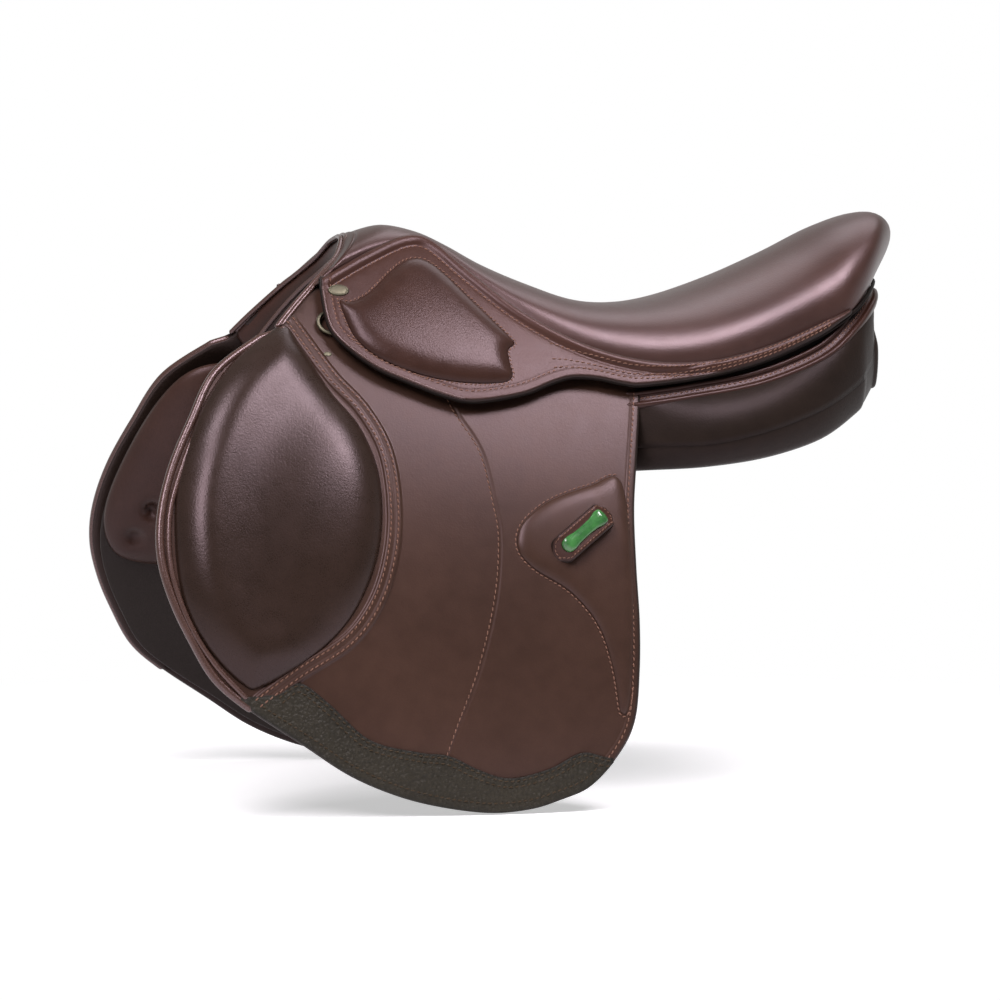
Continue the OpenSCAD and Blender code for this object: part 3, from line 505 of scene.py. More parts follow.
# Rounded ends of a roll: shares of its radius, along and across
ROLL_END = ((0.95, 0.25), (0.75, 0.66), (0.4, 0.92))
ROLL_SIDES = 10
ROLL_START = (0.31, 0.52, 0.79)


def roll(path, r):
    """A round roll with round ends along a path in space; r may change along it."""
    path = np.asarray(path, float)
    t = unit(np.gradient(path, axis=0))
    r = np.broadcast_to(np.asarray(r, float), (len(path),)).copy()
    reach, share = np.array(ROLL_END).T
    first, last = path[0] - t[0] * r[0] * reach[:, None], path[-1] + t[-1] * r[-1] * reach[::-1, None]
    path = np.vstack([first, path, last])
    t = np.vstack([np.repeat(t[:1], len(reach), 0), t, np.repeat(t[-1:], len(reach), 0)])
    r = np.concatenate([r[0] * share, r, r[-1] * share[::-1]])
    up = np.cross(t[0], ROLL_START)
    rings = []
    turn = 2 * np.pi * np.arange(ROLL_SIDES) / ROLL_SIDES
    for p, way, size in zip(path, t, r):
        up = up - (up @ way) * way
        up /= np.linalg.norm(up)
        wide = np.cross(way, up)
        rings.append(p + size * (np.cos(turn)[:, None] * up + np.sin(turn)[:, None] * wide))
    return loft(rings)


def grid_out(grid):
    """Direction out of a grid of points."""
    return unit(np.cross(np.gradient(grid, axis=1), np.gradient(grid, axis=0)))


def sheet(top, low):
    """A closed shape between an upper and a lower grid of points."""
    m, n = top.shape[:2]
    h = m * n
    faces = []
    for i in range(m - 1):
        a = i * n
        for j in range(n - 1):
            b = a + j
            faces += [(b, b + n, b + n + 1, b + 1), (h + b, h + b + 1, h + b + n + 1, h + b + n)]
        e = a + n - 1
        faces += [(a + n, a, h + a, h + a + n), (e, e + n, h + e + n, h + e)]
    for j in range(n - 1):
        b = (m - 1) * n + j
        faces += [(j, j + 1, h + j + 1, h + j), (b + 1, b, h + b, h + b + 1)]
    return Shape(np.vstack([top.reshape(-1, 3), low.reshape(-1, 3)]), faces).turned_out()


def band(path, out, profile):
    """A strip swept along a path; the profile holds points (across, out)."""
    t = unit(np.gradient(path, axis=0))
    across = unit(np.cross(out, t))
    return loft([p + profile[:, :1] * a + profile[:, 1:] * o for p, a, o in zip(path, across, out)])


STITCH_PITCH = 4.2
STITCH_LEN = 3.1
STITCH_R = 0.48
STITCH_SLANT = 0.16
STITCH_SIDES = 6
# Places along a stitch and its thickness there; how high its middle is and how fast its ends sink
STITCH_FORM = ((-0.5, 0.3), (-0.4, 0.8), (-0.18, 1), (0.18, 1), (0.4, 0.8), (0.5, 0.3))
STITCH_RISE = 0.5
STITCH_SINK = 4.4


def stitched(path, out, pitch=STITCH_PITCH, r=STITCH_R, slant=STITCH_SLANT):
    """A row of stitches along a path in space, sunk a little at their ends."""
    run = spaced(np.hstack([path, out]), pitch)
    at, up = run[:, :3], unit(run[:, 3:])
    t = unit(np.gradient(at, axis=0))
    t = unit(t + slant * unit(np.cross(up, t)))
    wide = np.cross(up, t)
    turn = 2 * np.pi * np.arange(STITCH_SIDES)[:, None] / STITCH_SIDES
    length = STITCH_LEN * pitch / STITCH_PITCH
    shapes = []
    for p, a, b, c in zip(at, t, wide, up):
        rings = [p + x * length * a + c * r * (STITCH_RISE - STITCH_SINK * x * x)
                 + r * size * (np.cos(turn) * b + np.sin(turn) * c) for x, size in STITCH_FORM]
        shapes.append(loft(rings))
    return joined(*shapes)


def sewn_row(line, place, **how):
    """Stitches along a line of the side view."""
    path = place(spaced(line, SEAM_STEP))
    return stitched(path, outward(path), **how)


# Objects
def placed(name, data):
    """A new object in the scene."""
    obj = bpy.data.objects.new(name, data)
    bpy.context.scene.collection.objects.link(obj)
    return obj


def meshed(name, points, faces):
    """A new mesh object; its points are in metres."""
    mesh = bpy.data.meshes.new(name)
    mesh.from_pydata(points, [], faces)
    return placed(name, mesh)


# Cloth: the padded leather is blown up against its sewn border
PUFF_FRAMES = 14
PUFF_STIFF = 40
PUFF_BEND = 2
PUFF_QUALITY = 4
EASE_ROUNDS = 14


def puffed(shape, held, pressure, cap):
    """The shape after its free points moved under pressure, at most cap mm."""
    obj = meshed("puff", shape.points * MM, shape.faces)
    group = obj.vertex_groups.new(name="sewn")
    group.add([int(i) for i in np.flatnonzero(held)], 1.0, "REPLACE")
    cloth = obj.modifiers.new("puff", "CLOTH").settings
    cloth.vertex_group_mass = "sewn"
    cloth.use_pressure = True
    cloth.uniform_pressure_force = pressure
    cloth.effector_weights.gravity = 0
    cloth.tension_stiffness = cloth.compression_stiffness = PUFF_STIFF
    cloth.bending_stiffness = PUFF_BEND
    cloth.quality = PUFF_QUALITY
    scene = bpy.context.scene
    for at in range(1, PUFF_FRAMES + 1):
        scene.frame_set(at)
    done = obj.evaluated_get(bpy.context.evaluated_depsgraph_get()).data
    points = np.array([v.co for v in done.vertices]) / MM
    scene.frame_set(1)
    mesh = obj.data
    ends = np.array([e.vertices for e in mesh.edges])
    bpy.data.objects.remove(obj)
    bpy.data.meshes.remove(mesh)
    move = points - shape.points
    far = np.linalg.norm(move, axis=1, keepdims=True)
    move *= np.minimum(1, cap / np.maximum(far, 1e-6))
    return Shape(shape.points + evened(move, ends, held), shape.faces, shape.edge)


def evened(move, ends, held):
    """Moves shared with the neighbouring points, so that no crease stays; held points stay."""
    there, back = np.concatenate([ends, ends[:, ::-1]]).T
    count = np.maximum(np.bincount(there, minlength=len(move)), 1)[:, None]
    for _ in range(EASE_ROUNDS):
        near = np.column_stack([np.bincount(there, move[back, k], len(move)) for k in range(3)]) / count
        move = np.where(held[:, None], 0, (move + near) / 2)
    return move


# Finishes
class Socket:
    """A shader socket; sums on it add Math nodes."""

    def __init__(self, finish, socket):
        self.finish, self.socket = finish, socket

    def math(self, operation, first, second):
        return self.finish.node("ShaderNodeMath", {"operation": operation}, {0: first, 1: second})

    def __add__(self, other):
        return self.math("ADD", self, other)

    def __sub__(self, other):
        return self.math("SUBTRACT", self, other)

    def __rsub__(self, other):
        return self.math("SUBTRACT", other, self)

    def __mul__(self, other):
        return self.math("MULTIPLY", self, other)

    __radd__ = __add__
    __rmul__ = __mul__


class Nodes:
    """The shader nodes of a material or the world."""

    def __init__(self, tree):
        self.tree = tree

    def node(self, kind, settings=None, links=None, output=0):
        made = self.tree.nodes.new(kind)
        for key, value in (settings or {}).items():
            setattr(made, key, value)
        for key, value in (links or {}).items():
            self.feed(made.inputs[key], value)
        return Socket(self, made.outputs[output])

    def feed(self, socket, value):
        if isinstance(value, Socket):
            self.tree.links.new(value.socket, socket)
        else:
            socket.default_value = value

    def place(self):
        return self.node("ShaderNodeTexCoord", output="Object")

    def noise(self, place, scale, detail=2.0):
        return self.node("ShaderNodeTexNoise", {}, {"Vector": place, "Scale": scale, "Detail": detail})

    def cells(self, place, scale, feature="F1"):
        return self.node("ShaderNodeTexVoronoi", {"feature": feature}, {"Vector": place, "Scale": scale})

    def waves(self, place, scale, way, **sockets):
        return self.node("ShaderNodeTexWave", {"bands_direction": way},
                         {"Vector": place, "Scale": scale, **sockets})

    def colour(self, share, *ends):
        """A mix of two colours, each a socket or its red, green and blue."""
        first, second = (end if isinstance(end, Socket) else (*end, 1.0) for end in ends)
        return self.node("ShaderNodeMix", {"data_type": "RGBA"}, {0: share, 6: first, 7: second}, 2)

    def clamp(self, value):
        return self.node("ShaderNodeClamp", {}, {"Value": value})

    def bump(self, height, strength, distance):
        return self.node("ShaderNodeBump", {},
                         {"Height": height, "Strength": strength, "Distance": distance})

    # The edge attribute: dark dyed edges, and painted shade on the arch lining
    def edge(self):
        return self.node("ShaderNodeAttribute", {"attribute_name": "edge"}, output="Fac")


class Finish(Nodes):
    """A material."""

    def __init__(self, name):
        self.material = bpy.data.materials.new(name)
        self.material.use_nodes = True
        super().__init__(self.material.node_tree)
        self.shader = self.tree.nodes["Principled BSDF"]

    def set(self, **sockets):
        for name, value in sockets.items():
            self.feed(self.shader.inputs[name.replace("_", " ")], value)
        return self.material


WHITE = (1, 1, 1)
BLACK = (0, 0, 0)
# The dark of dyed cut edges; on the arch lining it is painted shade
EDGE_DYE_AND_PAINTED_SHADE = (0.010, 0.0085, 0.0065)
SHEEN_TINT = (1.0, 0.76, 0.82, 1.0)


def leather(name, deep, bright, rough, grain=1.0, gloss=0.32):
    """Smooth dyed leather with fine pores, patches of tone and dark dressed edges; where the edge attribute
    holds painted shade, as on the arch lining, the same dark paints shade.
    """
    f = Finish(name)
    place = f.place()
    patches, mottle = f.noise(place, 11, 3), f.noise(place, 95, 4)
    pores, creases = f.cells(place, 780), f.noise(place, 420, 5)
    edge = f.edge()
    tone = f.clamp(patches * 1.1 + mottle * 0.5 - pores * 0.12 - 0.32)
    height = creases * 0.6 + pores * 0.5 + mottle * 0.2
    return f.set(Base_Color=f.colour(edge * 0.85, f.colour(tone, deep, bright), EDGE_DYE_AND_PAINTED_SHADE),
                 Roughness=rough + mottle * 0.08 - 0.04 + pores * 0.06 + edge * 0.08,
                 Normal=f.bump(height, 0.16 * grain, 0.0006),
                 Specular_IOR_Level=gloss, Specular_Tint=SHEEN_TINT)


def pebbled(name, deep, bright):
    """Hard-wearing leather with a raised pebble grain."""
    f = Finish(name)
    place = f.place()
    wander, patches = f.noise(place, 150, 2), f.noise(place, 16, 3)
    pebbles, fine = f.cells(place, 480, "SMOOTH_F1"), f.cells(place, 1200)
    edge = f.edge()
    tone = f.clamp(patches * 0.7 + 0.45 - pebbles * 0.5)
    height = 0.8 - pebbles * 1.1 + wander * 0.4 - fine * 0.15
    return f.set(Base_Color=f.colour(edge * 0.7, f.colour(tone, deep, bright), EDGE_DYE_AND_PAINTED_SHADE),
                 Roughness=0.42 + pebbles * 0.25, Specular_IOR_Level=0.25,
                 Normal=f.bump(height, 0.9, 0.0013))


def thread(name, deep, bright):
    """Waxed twisted thread."""
    f = Finish(name)
    place = f.place()
    twist, worn = f.waves(place, 700, "DIAGONAL"), f.noise(place, 130, 3)
    return f.set(Base_Color=f.colour(f.clamp(twist * 0.5 + worn * 0.6), deep, bright),
                 Roughness=0.5 + worn * 0.2, Specular_IOR_Level=0.15, Normal=f.bump(twist, 0.4, 0.0003))


def metal(name, deep, bright, rough):
    """Drawn and tumbled metal with fine scratches."""
    f = Finish(name)
    place = f.place()
    wear, scratch = f.noise(place, 60, 4), f.noise(place, 900, 2)
    return f.set(Base_Color=f.colour(wear, deep, bright), Metallic=1.0, Roughness=rough + wear * 0.15,
                 Normal=f.bump(scratch, 0.08, 0.0003))


def wood(name, deep, bright):
    """Laminated beech of the tree."""
    f = Finish(name)
    place = f.place()
    ply, fibre = f.waves(place, 90, "Z", Distortion=3.0, Detail=3.0), f.noise(place, 220, 4)
    return f.set(Base_Color=f.colour(f.clamp(ply * 0.5 + fibre * 0.5), deep, bright),
                 Roughness=0.5 + fibre * 0.15, Normal=f.bump(ply + fibre, 0.15, 0.0005))


def webbing(name, deep, bright):
    """Woven linen web."""
    f = Finish(name)
    place = f.place()
    weave = f.waves(place, 260, "X") * f.waves(place, 260, "Z")
    worn = f.noise(place, 40, 3)
    return f.set(Base_Color=f.colour(f.clamp(weave * 0.6 + worn * 0.5), deep, bright),
                 Roughness=0.8 + worn * 0.1, Normal=f.bump(weave, 0.6, 0.0006))


def enamel(name, deep, bright):
    """Clear domed enamel over a mottled ground."""
    f = Finish(name)
    place = f.place()
    clouds, flecks = f.noise(place, 120, 3), f.cells(place, 900)
    return f.set(Base_Color=f.colour(f.clamp(clouds * 1.4 - 0.2 + flecks * 0.2), deep, bright),
                 Roughness=0.14 + clouds * 0.08, Normal=f.bump(clouds, 0.05, 0.0004), Coat_Weight=0.6)


LEATHER = leather("leather", (0.028, 0.0112, 0.0074), (0.056, 0.0240, 0.0162), 0.31)
SEAT_LEATHER = leather("seat_leather", (0.030, 0.0116, 0.0076), (0.058, 0.0242, 0.0162), 0.33, gloss=0.75)
PAD_LEATHER = leather("pad_leather", (0.026, 0.0106, 0.0070), (0.052, 0.0226, 0.0152), 0.28, gloss=0.3)
FLAP_LEATHER = leather("flap_leather", (0.035, 0.0175, 0.0114), (0.070, 0.0355, 0.0240), 0.32, grain=0.6)
RED_LEATHER = leather("red_leather", (0.036, 0.0148, 0.0096), (0.072, 0.0304, 0.0208), 0.32, grain=0.8)
PIPING = leather("piping", (0.042, 0.0205, 0.0142), (0.088, 0.0452, 0.0326), 0.24, gloss=0.8)
KNEE_LEATHER = leather("knee_leather", (0.0165, 0.0094, 0.0060), (0.034, 0.0190, 0.0132), 0.26, gloss=0.34)
PANEL_LEATHER = leather("panel_leather", (0.012, 0.0084, 0.0064), (0.027, 0.0176, 0.0132), 0.38, 1.2, 0.14)
# The lobe leather is reddish and lighter than the panel leather: partly the lobe's own tone, partly painted
# light on the far lobe, which the lamps barely reach
LOBE_LEATHER_WITH_PAINTED_LIGHT = leather("lobe_leather_with_painted_light", (0.026, 0.0120, 0.0082), (0.056, 0.0262, 0.0186), 0.36, gloss=0.3)
DARK_LEATHER = leather("dark_leather", (0.004, 0.0032, 0.0024), (0.012, 0.0090, 0.0068), 0.5, gloss=0.1)
LINING = leather("lining_leather", (0.018, 0.0165, 0.013), (0.036, 0.033, 0.027), 0.5, grain=1.2)
RIM_LEATHER = pebbled("rim_leather", (0.008, 0.0062, 0.0036), (0.036, 0.029, 0.018))
THREAD = thread("thread", (0.135, 0.064, 0.045), (0.290, 0.158, 0.112))
RIM_THREAD = thread("rim_thread", (0.030, 0.020, 0.011), (0.075, 0.050, 0.029))
DARK_THREAD = thread("dark_thread", (0.02, 0.012, 0.009), (0.07, 0.04, 0.03))
STEEL = metal("steel", (0.33, 0.33, 0.34), (0.55, 0.55, 0.56), 0.3)
BRASS = metal("brass", (0.075, 0.068, 0.046), (0.19, 0.172, 0.125), 0.42)
WOOD = wood("wood", (0.22, 0.12, 0.055), (0.42, 0.26, 0.13))
WEB = webbing("webbing", (0.20, 0.16, 0.10), (0.46, 0.40, 0.29))
ENAMEL = enamel("enamel", (0.004, 0.045, 0.012), (0.06, 0.25, 0.055))


# Pieces
FOLD_ZONE = 12.0


def fold_ends(joint_name):
    """Points above and below a hinge, square to it along the side."""
    joint = next(j for j in frame["joints"] if j["name"] == joint_name)
    at, axis = np.array(joint["pos_m"]), np.array(joint["axis"])
    out = np.array([0, at[1] - np.sign(at[1]) * AXIS_Y * MM, at[2] - AXIS_Z * MM])
    down = unit(np.cross(out, axis))
    down = -down if down[2] > 0 else down
    return at - down * FOLD_ZONE * MM, at + down * FOLD_ZONE * MM


def make(name, shape, finish, on="saddle", hand=None, stands_for=(), slot=None, fill=None):
    """One piece: its mesh, its finish and the solids that it stands for; it hangs on the body that carries
    it, but a flap or skirt piece stays fixed in the scene and doesn't fold.
    """
    obj = meshed(name, shape.points * MM, shape.faces)
    mesh = obj.data
    mesh.update()
    mesh.attributes.new("edge", "FLOAT", "POINT").data.foreach_set("value", shape.edge.astype(np.float32))
    mesh.polygons.foreach_set("use_smooth", np.ones(len(mesh.polygons), bool))
    mesh.materials.append(finish)
    if on in ("flap", "skirt"):
        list(fold_ends(f"{on}_{hand}_lift"))
        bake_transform(obj)
    else:
        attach(obj, f"{on}_{hand}" if hand and on != "saddle" else on)
    if stands_for:
        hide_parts(*stands_for)
    return obj


def pair(name, shape, finish, on="saddle", stands_for=(), **how):
    """A left piece and its mirrored right one."""
    return [make(f"{name}_{hand}", shape.mirrored(way), finish, on, hand,
                 [f"{node}_{hand}" for node in stands_for], **how) for hand, way in HANDS]


def stuffed(name, outline, place, finish, on, pressure, cap, fill, slot="leather", **form):
    """A left and a right pad, sewn down along an outline and blown up."""
    shape, sewn = pad(outline, place, **form)
    pair(name, puffed(shape, sewn, pressure, cap), finish, on, [name], slot=slot, fill=fill)


def stretched(piece, grid, *rests_on):
    """Steps of a grid of points across and along it; nothing is returned, and the piece and what it rests on
    are not used.
    """
    across, along = grid[1:, 1:] - grid[:-1, :-1], grid[1:, :-1] - grid[:-1, 1:]


def bead(d, at, half, rise):
    """A round ridge at a distance: its place, half width and rise."""
    return rise * np.clip(1 - ((d - at) / half) ** 2, 0, None)


PLATEAU_EDGE = 1.4


def plateau(d, half):
    """1 up to half a width, with a soft edge."""
    return smooth((half + PLATEAU_EDGE / 2 - d) / PLATEAU_EDGE)


# Seat
SEAT_STEPS = 6
SEAT_COLS = 72
# How round the seat's section is along x: 1 is an ellipse, less is squarer
SEAT_ROUND = ((-270.0, 0.78), (-60.0, 0.84), (40.0, 0.94))
COVER_T = 3.0
FOAM_T = 15.0
# Rows at the seat's ends and columns at its sides that are sewn down
SEWN_ROWS = 4
SEWN_COLS = 8
seat_ridge = bent(np.insert(in_box(RIDGE_SHARES, SEAT_BOX), 1, 0, axis=1), SEAT_STEPS)
seat_edge = bent(wrapped(SEAT_EDGE_SHARES, SEAT_R), SEAT_STEPS)
seat_v = np.sin(np.pi / 2 * np.linspace(-1, 1, SEAT_COLS + 1))
seat_round = np.interp(seat_edge[:, :1], *zip(*SEAT_ROUND))
seat_out = np.sign(seat_v) * np.abs(np.sin(np.pi / 2 * seat_v)) ** seat_round
seat_drop = 1 - np.clip(np.cos(np.pi / 2 * seat_v), 0, 1) ** seat_round
seat_top = np.stack([mix(seat_ridge[:, :1], seat_edge[:, :1], seat_drop), seat_out * seat_edge[:, 1:2],
                     mix(seat_ridge[:, 2:], seat_edge[:, 2:], seat_drop)], axis=2)
seat_ends = np.sin(np.pi * np.linspace(0, 1, len(seat_ridge)))[:, None, None]
seat_thick = COVER_T + FOAM_T * (1 - seat_v[None, :, None] ** 2) * seat_ends
seat_low = seat_top - grid_out(seat_top) * seat_thick
seat_free = np.zeros(seat_top.shape[:2], bool)
seat_free[SEWN_ROWS:-SEWN_ROWS, SEWN_COLS:-SEWN_COLS] = True
seat_held = np.concatenate([~seat_free.ravel(), np.ones(seat_free.size, bool)])
make("seat", puffed(sheet(seat_top, seat_low), seat_held, pressure=0.6, cap=2.0), SEAT_LEATHER,
     stands_for=["seat_cover", "seat_foam"], slot="leather", fill=0.8)


def below_edge(distance):
    """The seat's edge moved down, square to it as seen from the side."""
    t = np.gradient(seat_edge, axis=0)
    down = np.column_stack([-t[:, 2], np.zeros(len(t)), t[:, 0]]) / np.hypot(t[:, 0], t[:, 2])[:, None]
    return seat_edge + distance * down


WELT_DROP = 2.1
WELT_R = 1.5
welt_path = spaced(below_edge(WELT_DROP))
make("seat_welt", roll(np.vstack([welt_path, welt_path[::-1] * MIRROR]), WELT_R), DARK_LEATHER,
     stands_for=["seat_welt"], slot="dark_leather")

# Skirts: outlines, then the roll and the grooves of their face (place, half width, rise)
WELT_ROOM = 3.4
SKIRT_FRONT = 150.0
SKIRT_WAIST = -8.0
SKIRT_REAR = -218.0
SKIRT_SEAM = 8.3
SKIRT_BORDER = 7.0
SKIRT_ROLL = (3.5, 4.0, 2.6)
SEAM_GROOVE = (SKIRT_SEAM, 1.3, 0.6)
BORDER_GROOVE = (SKIRT_BORDER, 1.1, 0.4)
SKIRT_TOP_ROWS = (2.6, 3.5, 4.5, 5.5, 6.4, 7.2, 8.3, 9.4, 10.6)
SKIRT_LOW_ROWS = (-3.4, -4.8, -5.9, -7.0, -8.1, -9.4)
skirt_low = drawn(SKIRT_SHARES, SEAT_BOX)
skirt_top = below_edge(WELT_ROOM)[:, [0, 2]]
skirt_top = skirt_top[skirt_top[:, 0] > skirt_low[-1, 0]]
skirt_outline = np.vstack([skirt_low, skirt_top[::-1]])
skirt_pad_outline = drawn(SKIRT_PAD_SHARES, SEAT_BOX, closed=True)


def skirt_lift(p):
    top, low = away(p, skirt_top), away(p, skirt_low)
    return bead(top, *SKIRT_ROLL) - bead(top, *SEAM_GROOVE) - bead(low, *BORDER_GROOVE)


skirt_face = on_side(SKIRT_OUT, skirt_lift)
skirt_rows = rows_beside(skirt_top, SKIRT_TOP_ROWS) + rows_beside(skirt_low, SKIRT_LOW_ROWS)
skirt_leaf = leaf(skirt_outline, skirt_face, SKIRT_T, rows=skirt_rows, dress=1.4)
skirts = pair("skirt", skirt_leaf, RED_LEATHER, "skirt", ["skirt_top", "skirt"], slot="leather")
SKIRT_PAD_SINK = 0.6
stuffed("skirt_pad", skirt_pad_outline, on_side(SKIRT_OUT - SKIRT_PAD_SINK), PAD_LEATHER, "skirt",
        pressure=2.0, cap=2.0, fill=0.7, rise=7.8, gap=3.2, power=0.4, lip=13.0)
PAD_SEAM_OUT = 0.5
HEM_SKIP = 2
REAR_SEAM_SHARES = (0.24, 0.4, 0.68)
REAR_SEAM_POINTS = 66
skirt_hem = beside(skirt_low, -SKIRT_BORDER)
skirt_hem = skirt_hem[skirt_hem[:, 0] > SKIRT_WAIST][HEM_SKIP:]
skirt_pad_seam = looped(inset(skirt_pad_outline, -PAD_SEAM_OUT))
skirt_thread = [sewn_row(between(beside(skirt_top, SKIRT_SEAM), SKIRT_WAIST, SKIRT_FRONT), skirt_face),
                sewn_row(skirt_hem, skirt_face),
                sewn_row(skirt_pad_seam, skirt_face, pitch=3.4, r=0.42, slant=0.6)]
rear_x = np.linspace(SKIRT_WAIST, SKIRT_REAR, REAR_SEAM_POINTS)
rear_top, rear_low = (np.interp(-rear_x, -line[:, 0], line[:, 1]) for line in (skirt_top, skirt_low))
for share in REAR_SEAM_SHARES:
    skirt_thread.append(sewn_row(np.column_stack([rear_x, mix(rear_low, rear_top, share)]), skirt_face))
pair("skirt_stitches", joined(*skirt_thread), THREAD, "skirt")
# The dark edge grows from the front to the lobe; a piping lies on it in front
SKIRT_EDGE_IN = 0.4
SKIRT_EDGE_OUT = 1.4
SKIRT_EDGE_R = (0.9, 1.4)
SKIRT_EDGE_FROM = 125.0
SKIRT_EDGE_RUN = 60.0
SKIRT_PIPING_IN = 1.6
SKIRT_PIPING_SINK = 0.3
SKIRT_PIPING_R = 1.1
SKIRT_PIPING_X = (60, 200)
skirt_edge = spaced(beside(skirt_low, -SKIRT_EDGE_IN))
skirt_edge_r = mix(*SKIRT_EDGE_R, smooth((SKIRT_EDGE_FROM - skirt_edge[:, 0]) / SKIRT_EDGE_RUN))
pair("skirt_edge", roll(side(skirt_edge, SKIRT_IN + SKIRT_EDGE_OUT), skirt_edge_r), DARK_LEATHER, "skirt",
     slot="dark_leather")
skirt_piping = spaced(between(beside(skirt_low, -SKIRT_PIPING_IN), *SKIRT_PIPING_X))
piping_path = side(skirt_piping, SKIRT_OUT - SKIRT_PIPING_SINK)
pair("skirt_piping", roll(piping_path, SKIRT_PIPING_R), PIPING, "skirt", slot="leather")

# Flaps: lines, then the raised rim of the knee pad, the binding and the grooves (place, half width, rise)
FLAP_FRONT_Z = (-195, 100)
FLAP_REAR_POINTS = 90
RIM_W = 10.0
RIM_RISE = 1.8
RIM_GROOVE = (0, 1.6, 0.5)
BIND_W = 7.0
BIND_RISE = 0.7
FLAP_GROOVE = (0, 1.4, 0.5)
KNEE_RIM_ROWS = both_ways((0.8, 1.6, 3.2, 4.3, 5, 5.7, 6.8, 8))
FLAP_SEAM_ROWS = both_ways((0.7, 1.4, 2.4, 3.6))
FLAP_REAR_ROWS = (-4.0, -5.2, -6.3, -7.0, -7.7, -8.8, -10.2)
flap_edge = drawn(FLAP_EDGE_SHARES, FLAP_BOX)
flap_head = drawn(FLAP_HEAD_SHARES, SEAT_BOX)
flap_outline = np.vstack([flap_edge, flap_head])
knee_outline = drawn(KNEE_SHARES, FLAP_BOX, closed=True)
knee_rim = drawn(KNEE_RIM_SHARES, FLAP_BOX)
flap_seam = drawn(FLAP_SEAM_SHARES, FLAP_BOX)
calf_outline = drawn(CALF_SHARES, FLAP_BOX, closed=True)
front_roll = drawn(FRONT_ROLL_SHARES, FLAP_BOX)
flap_front = between(flap_edge[:len(flap_edge) // 2], *FLAP_FRONT_Z, axis=1)
flap_rear = flap_edge[-FLAP_REAR_POINTS:]


def flap_lift(p):
    rim, rear, seam = away(p, knee_rim), away(p, flap_rear), away(p, flap_seam)
    return (RIM_RISE * plateau(rim, RIM_W / 2) - bead(rim, *RIM_GROOVE) + BIND_RISE * plateau(rear, BIND_W)
            - bead(seam, *FLAP_GROOVE))


flap_face = on_side(SIDE_R, flap_lift)
flap_rows = (rows_beside(knee_rim, KNEE_RIM_ROWS) + rows_beside(flap_seam, FLAP_SEAM_ROWS, SEAM_STEP)
             + rows_beside(flap_rear, FLAP_REAR_ROWS))
# The stirrup bar's window: half its length, and its edges below and above the bar
BAR_SHARES = (0.07, -0.3)
BAR_WINDOW = (38.0, -20.0, 22.0)
bar_at = in_box([BAR_SHARES], SEAT_BOX)[0]
half, low, high = BAR_WINDOW
window = bar_at + rect(-half, half, low, high)
flap_leaf = leaf(flap_outline, flap_face, FLAP_T, gap=4.2, soft=2.4, rows=flap_rows, holes=[window],
                 dress=2.2)
flaps = pair("flap", flap_leaf, FLAP_LEATHER, "flap", ["flap_top", "flap"], slot="leather")
# The knee pad's fuller front and the hollow behind it: place from the front edge, width, share of the rise
BOLSTER = (20.0, 17.0, 0.22)
HOLLOW = (58.0, 26.0, -0.18)
KNEE_TIP = 9
knee_front = drawn(KNEE_SHARES[KNEE_TIP:] + KNEE_SHARES[:1], FLAP_BOX)


def knee_swell(p):
    d = away(p, knee_front)
    return 1 + sum(share * np.exp(-((d - at) / wide) ** 2) for at, wide, share in (BOLSTER, HOLLOW))


KNEE_SINK = 0.6
CALF_SINK = 0.4
stuffed("knee_pad", knee_outline, on_side(SIDE_R - KNEE_SINK), KNEE_LEATHER, "flap",
        pressure=1.5, cap=2.0, fill=0.8, rise=14.0, gap=4.0, power=0.5, swell=knee_swell, lip=26.0)
stuffed("calf_pad", calf_outline, on_side(SIDE_R - CALF_SINK), FLAP_LEATHER, "flap",
        pressure=1.5, cap=1.5, fill=0.7, rise=4.6, gap=3.2, power=0.32, lip=10.0)
EDGE_ROLL_R = 3.1
EDGE_ROLL_IN = 1.4
EDGE_ROLL_SINK = 1.0
SECOND_ROLL_R = 2.0
SECOND_ROLL_OUT = 0.9
front_line = spaced(beside(np.vstack([flap_head[-1:], flap_front]), -EDGE_ROLL_IN))
flap_rolls = joined(roll(side(front_line, SIDE_R - EDGE_ROLL_SINK), EDGE_ROLL_R),
                    roll(side(spaced(front_roll), SIDE_R + SECOND_ROLL_OUT), SECOND_ROLL_R))
pair("flap_rolls", flap_rolls, PIPING, "flap", slot="leather")
RIM_SEAM = 2.6
FLAP_SEAM_BESIDE = 1.7
BIND_SEAM = 5.2
BIND_SKIP = 4
CALF_SEAM_OUT = 0.8
CALF_SEAM_FRONT = -45
flap_thread = [sewn_row(beside(knee_rim, d), flap_face) for d in (-RIM_SEAM, RIM_SEAM)]
flap_thread.append(sewn_row(beside(flap_seam, FLAP_SEAM_BESIDE), flap_face, r=0.42))
flap_thread.append(sewn_row(beside(flap_rear, -BIND_SEAM)[BIND_SKIP:], flap_face))
calf_border = spaced(inset(calf_outline, -CALF_SEAM_OUT), closed=True)
calf_border = calf_border[calf_border[:, 0] > CALF_SEAM_FRONT]
flap_thread.append(sewn_row(calf_border, flap_face, pitch=3.6, r=0.45))
pair("flap_stitches", joined(*flap_thread), THREAD, "flap")

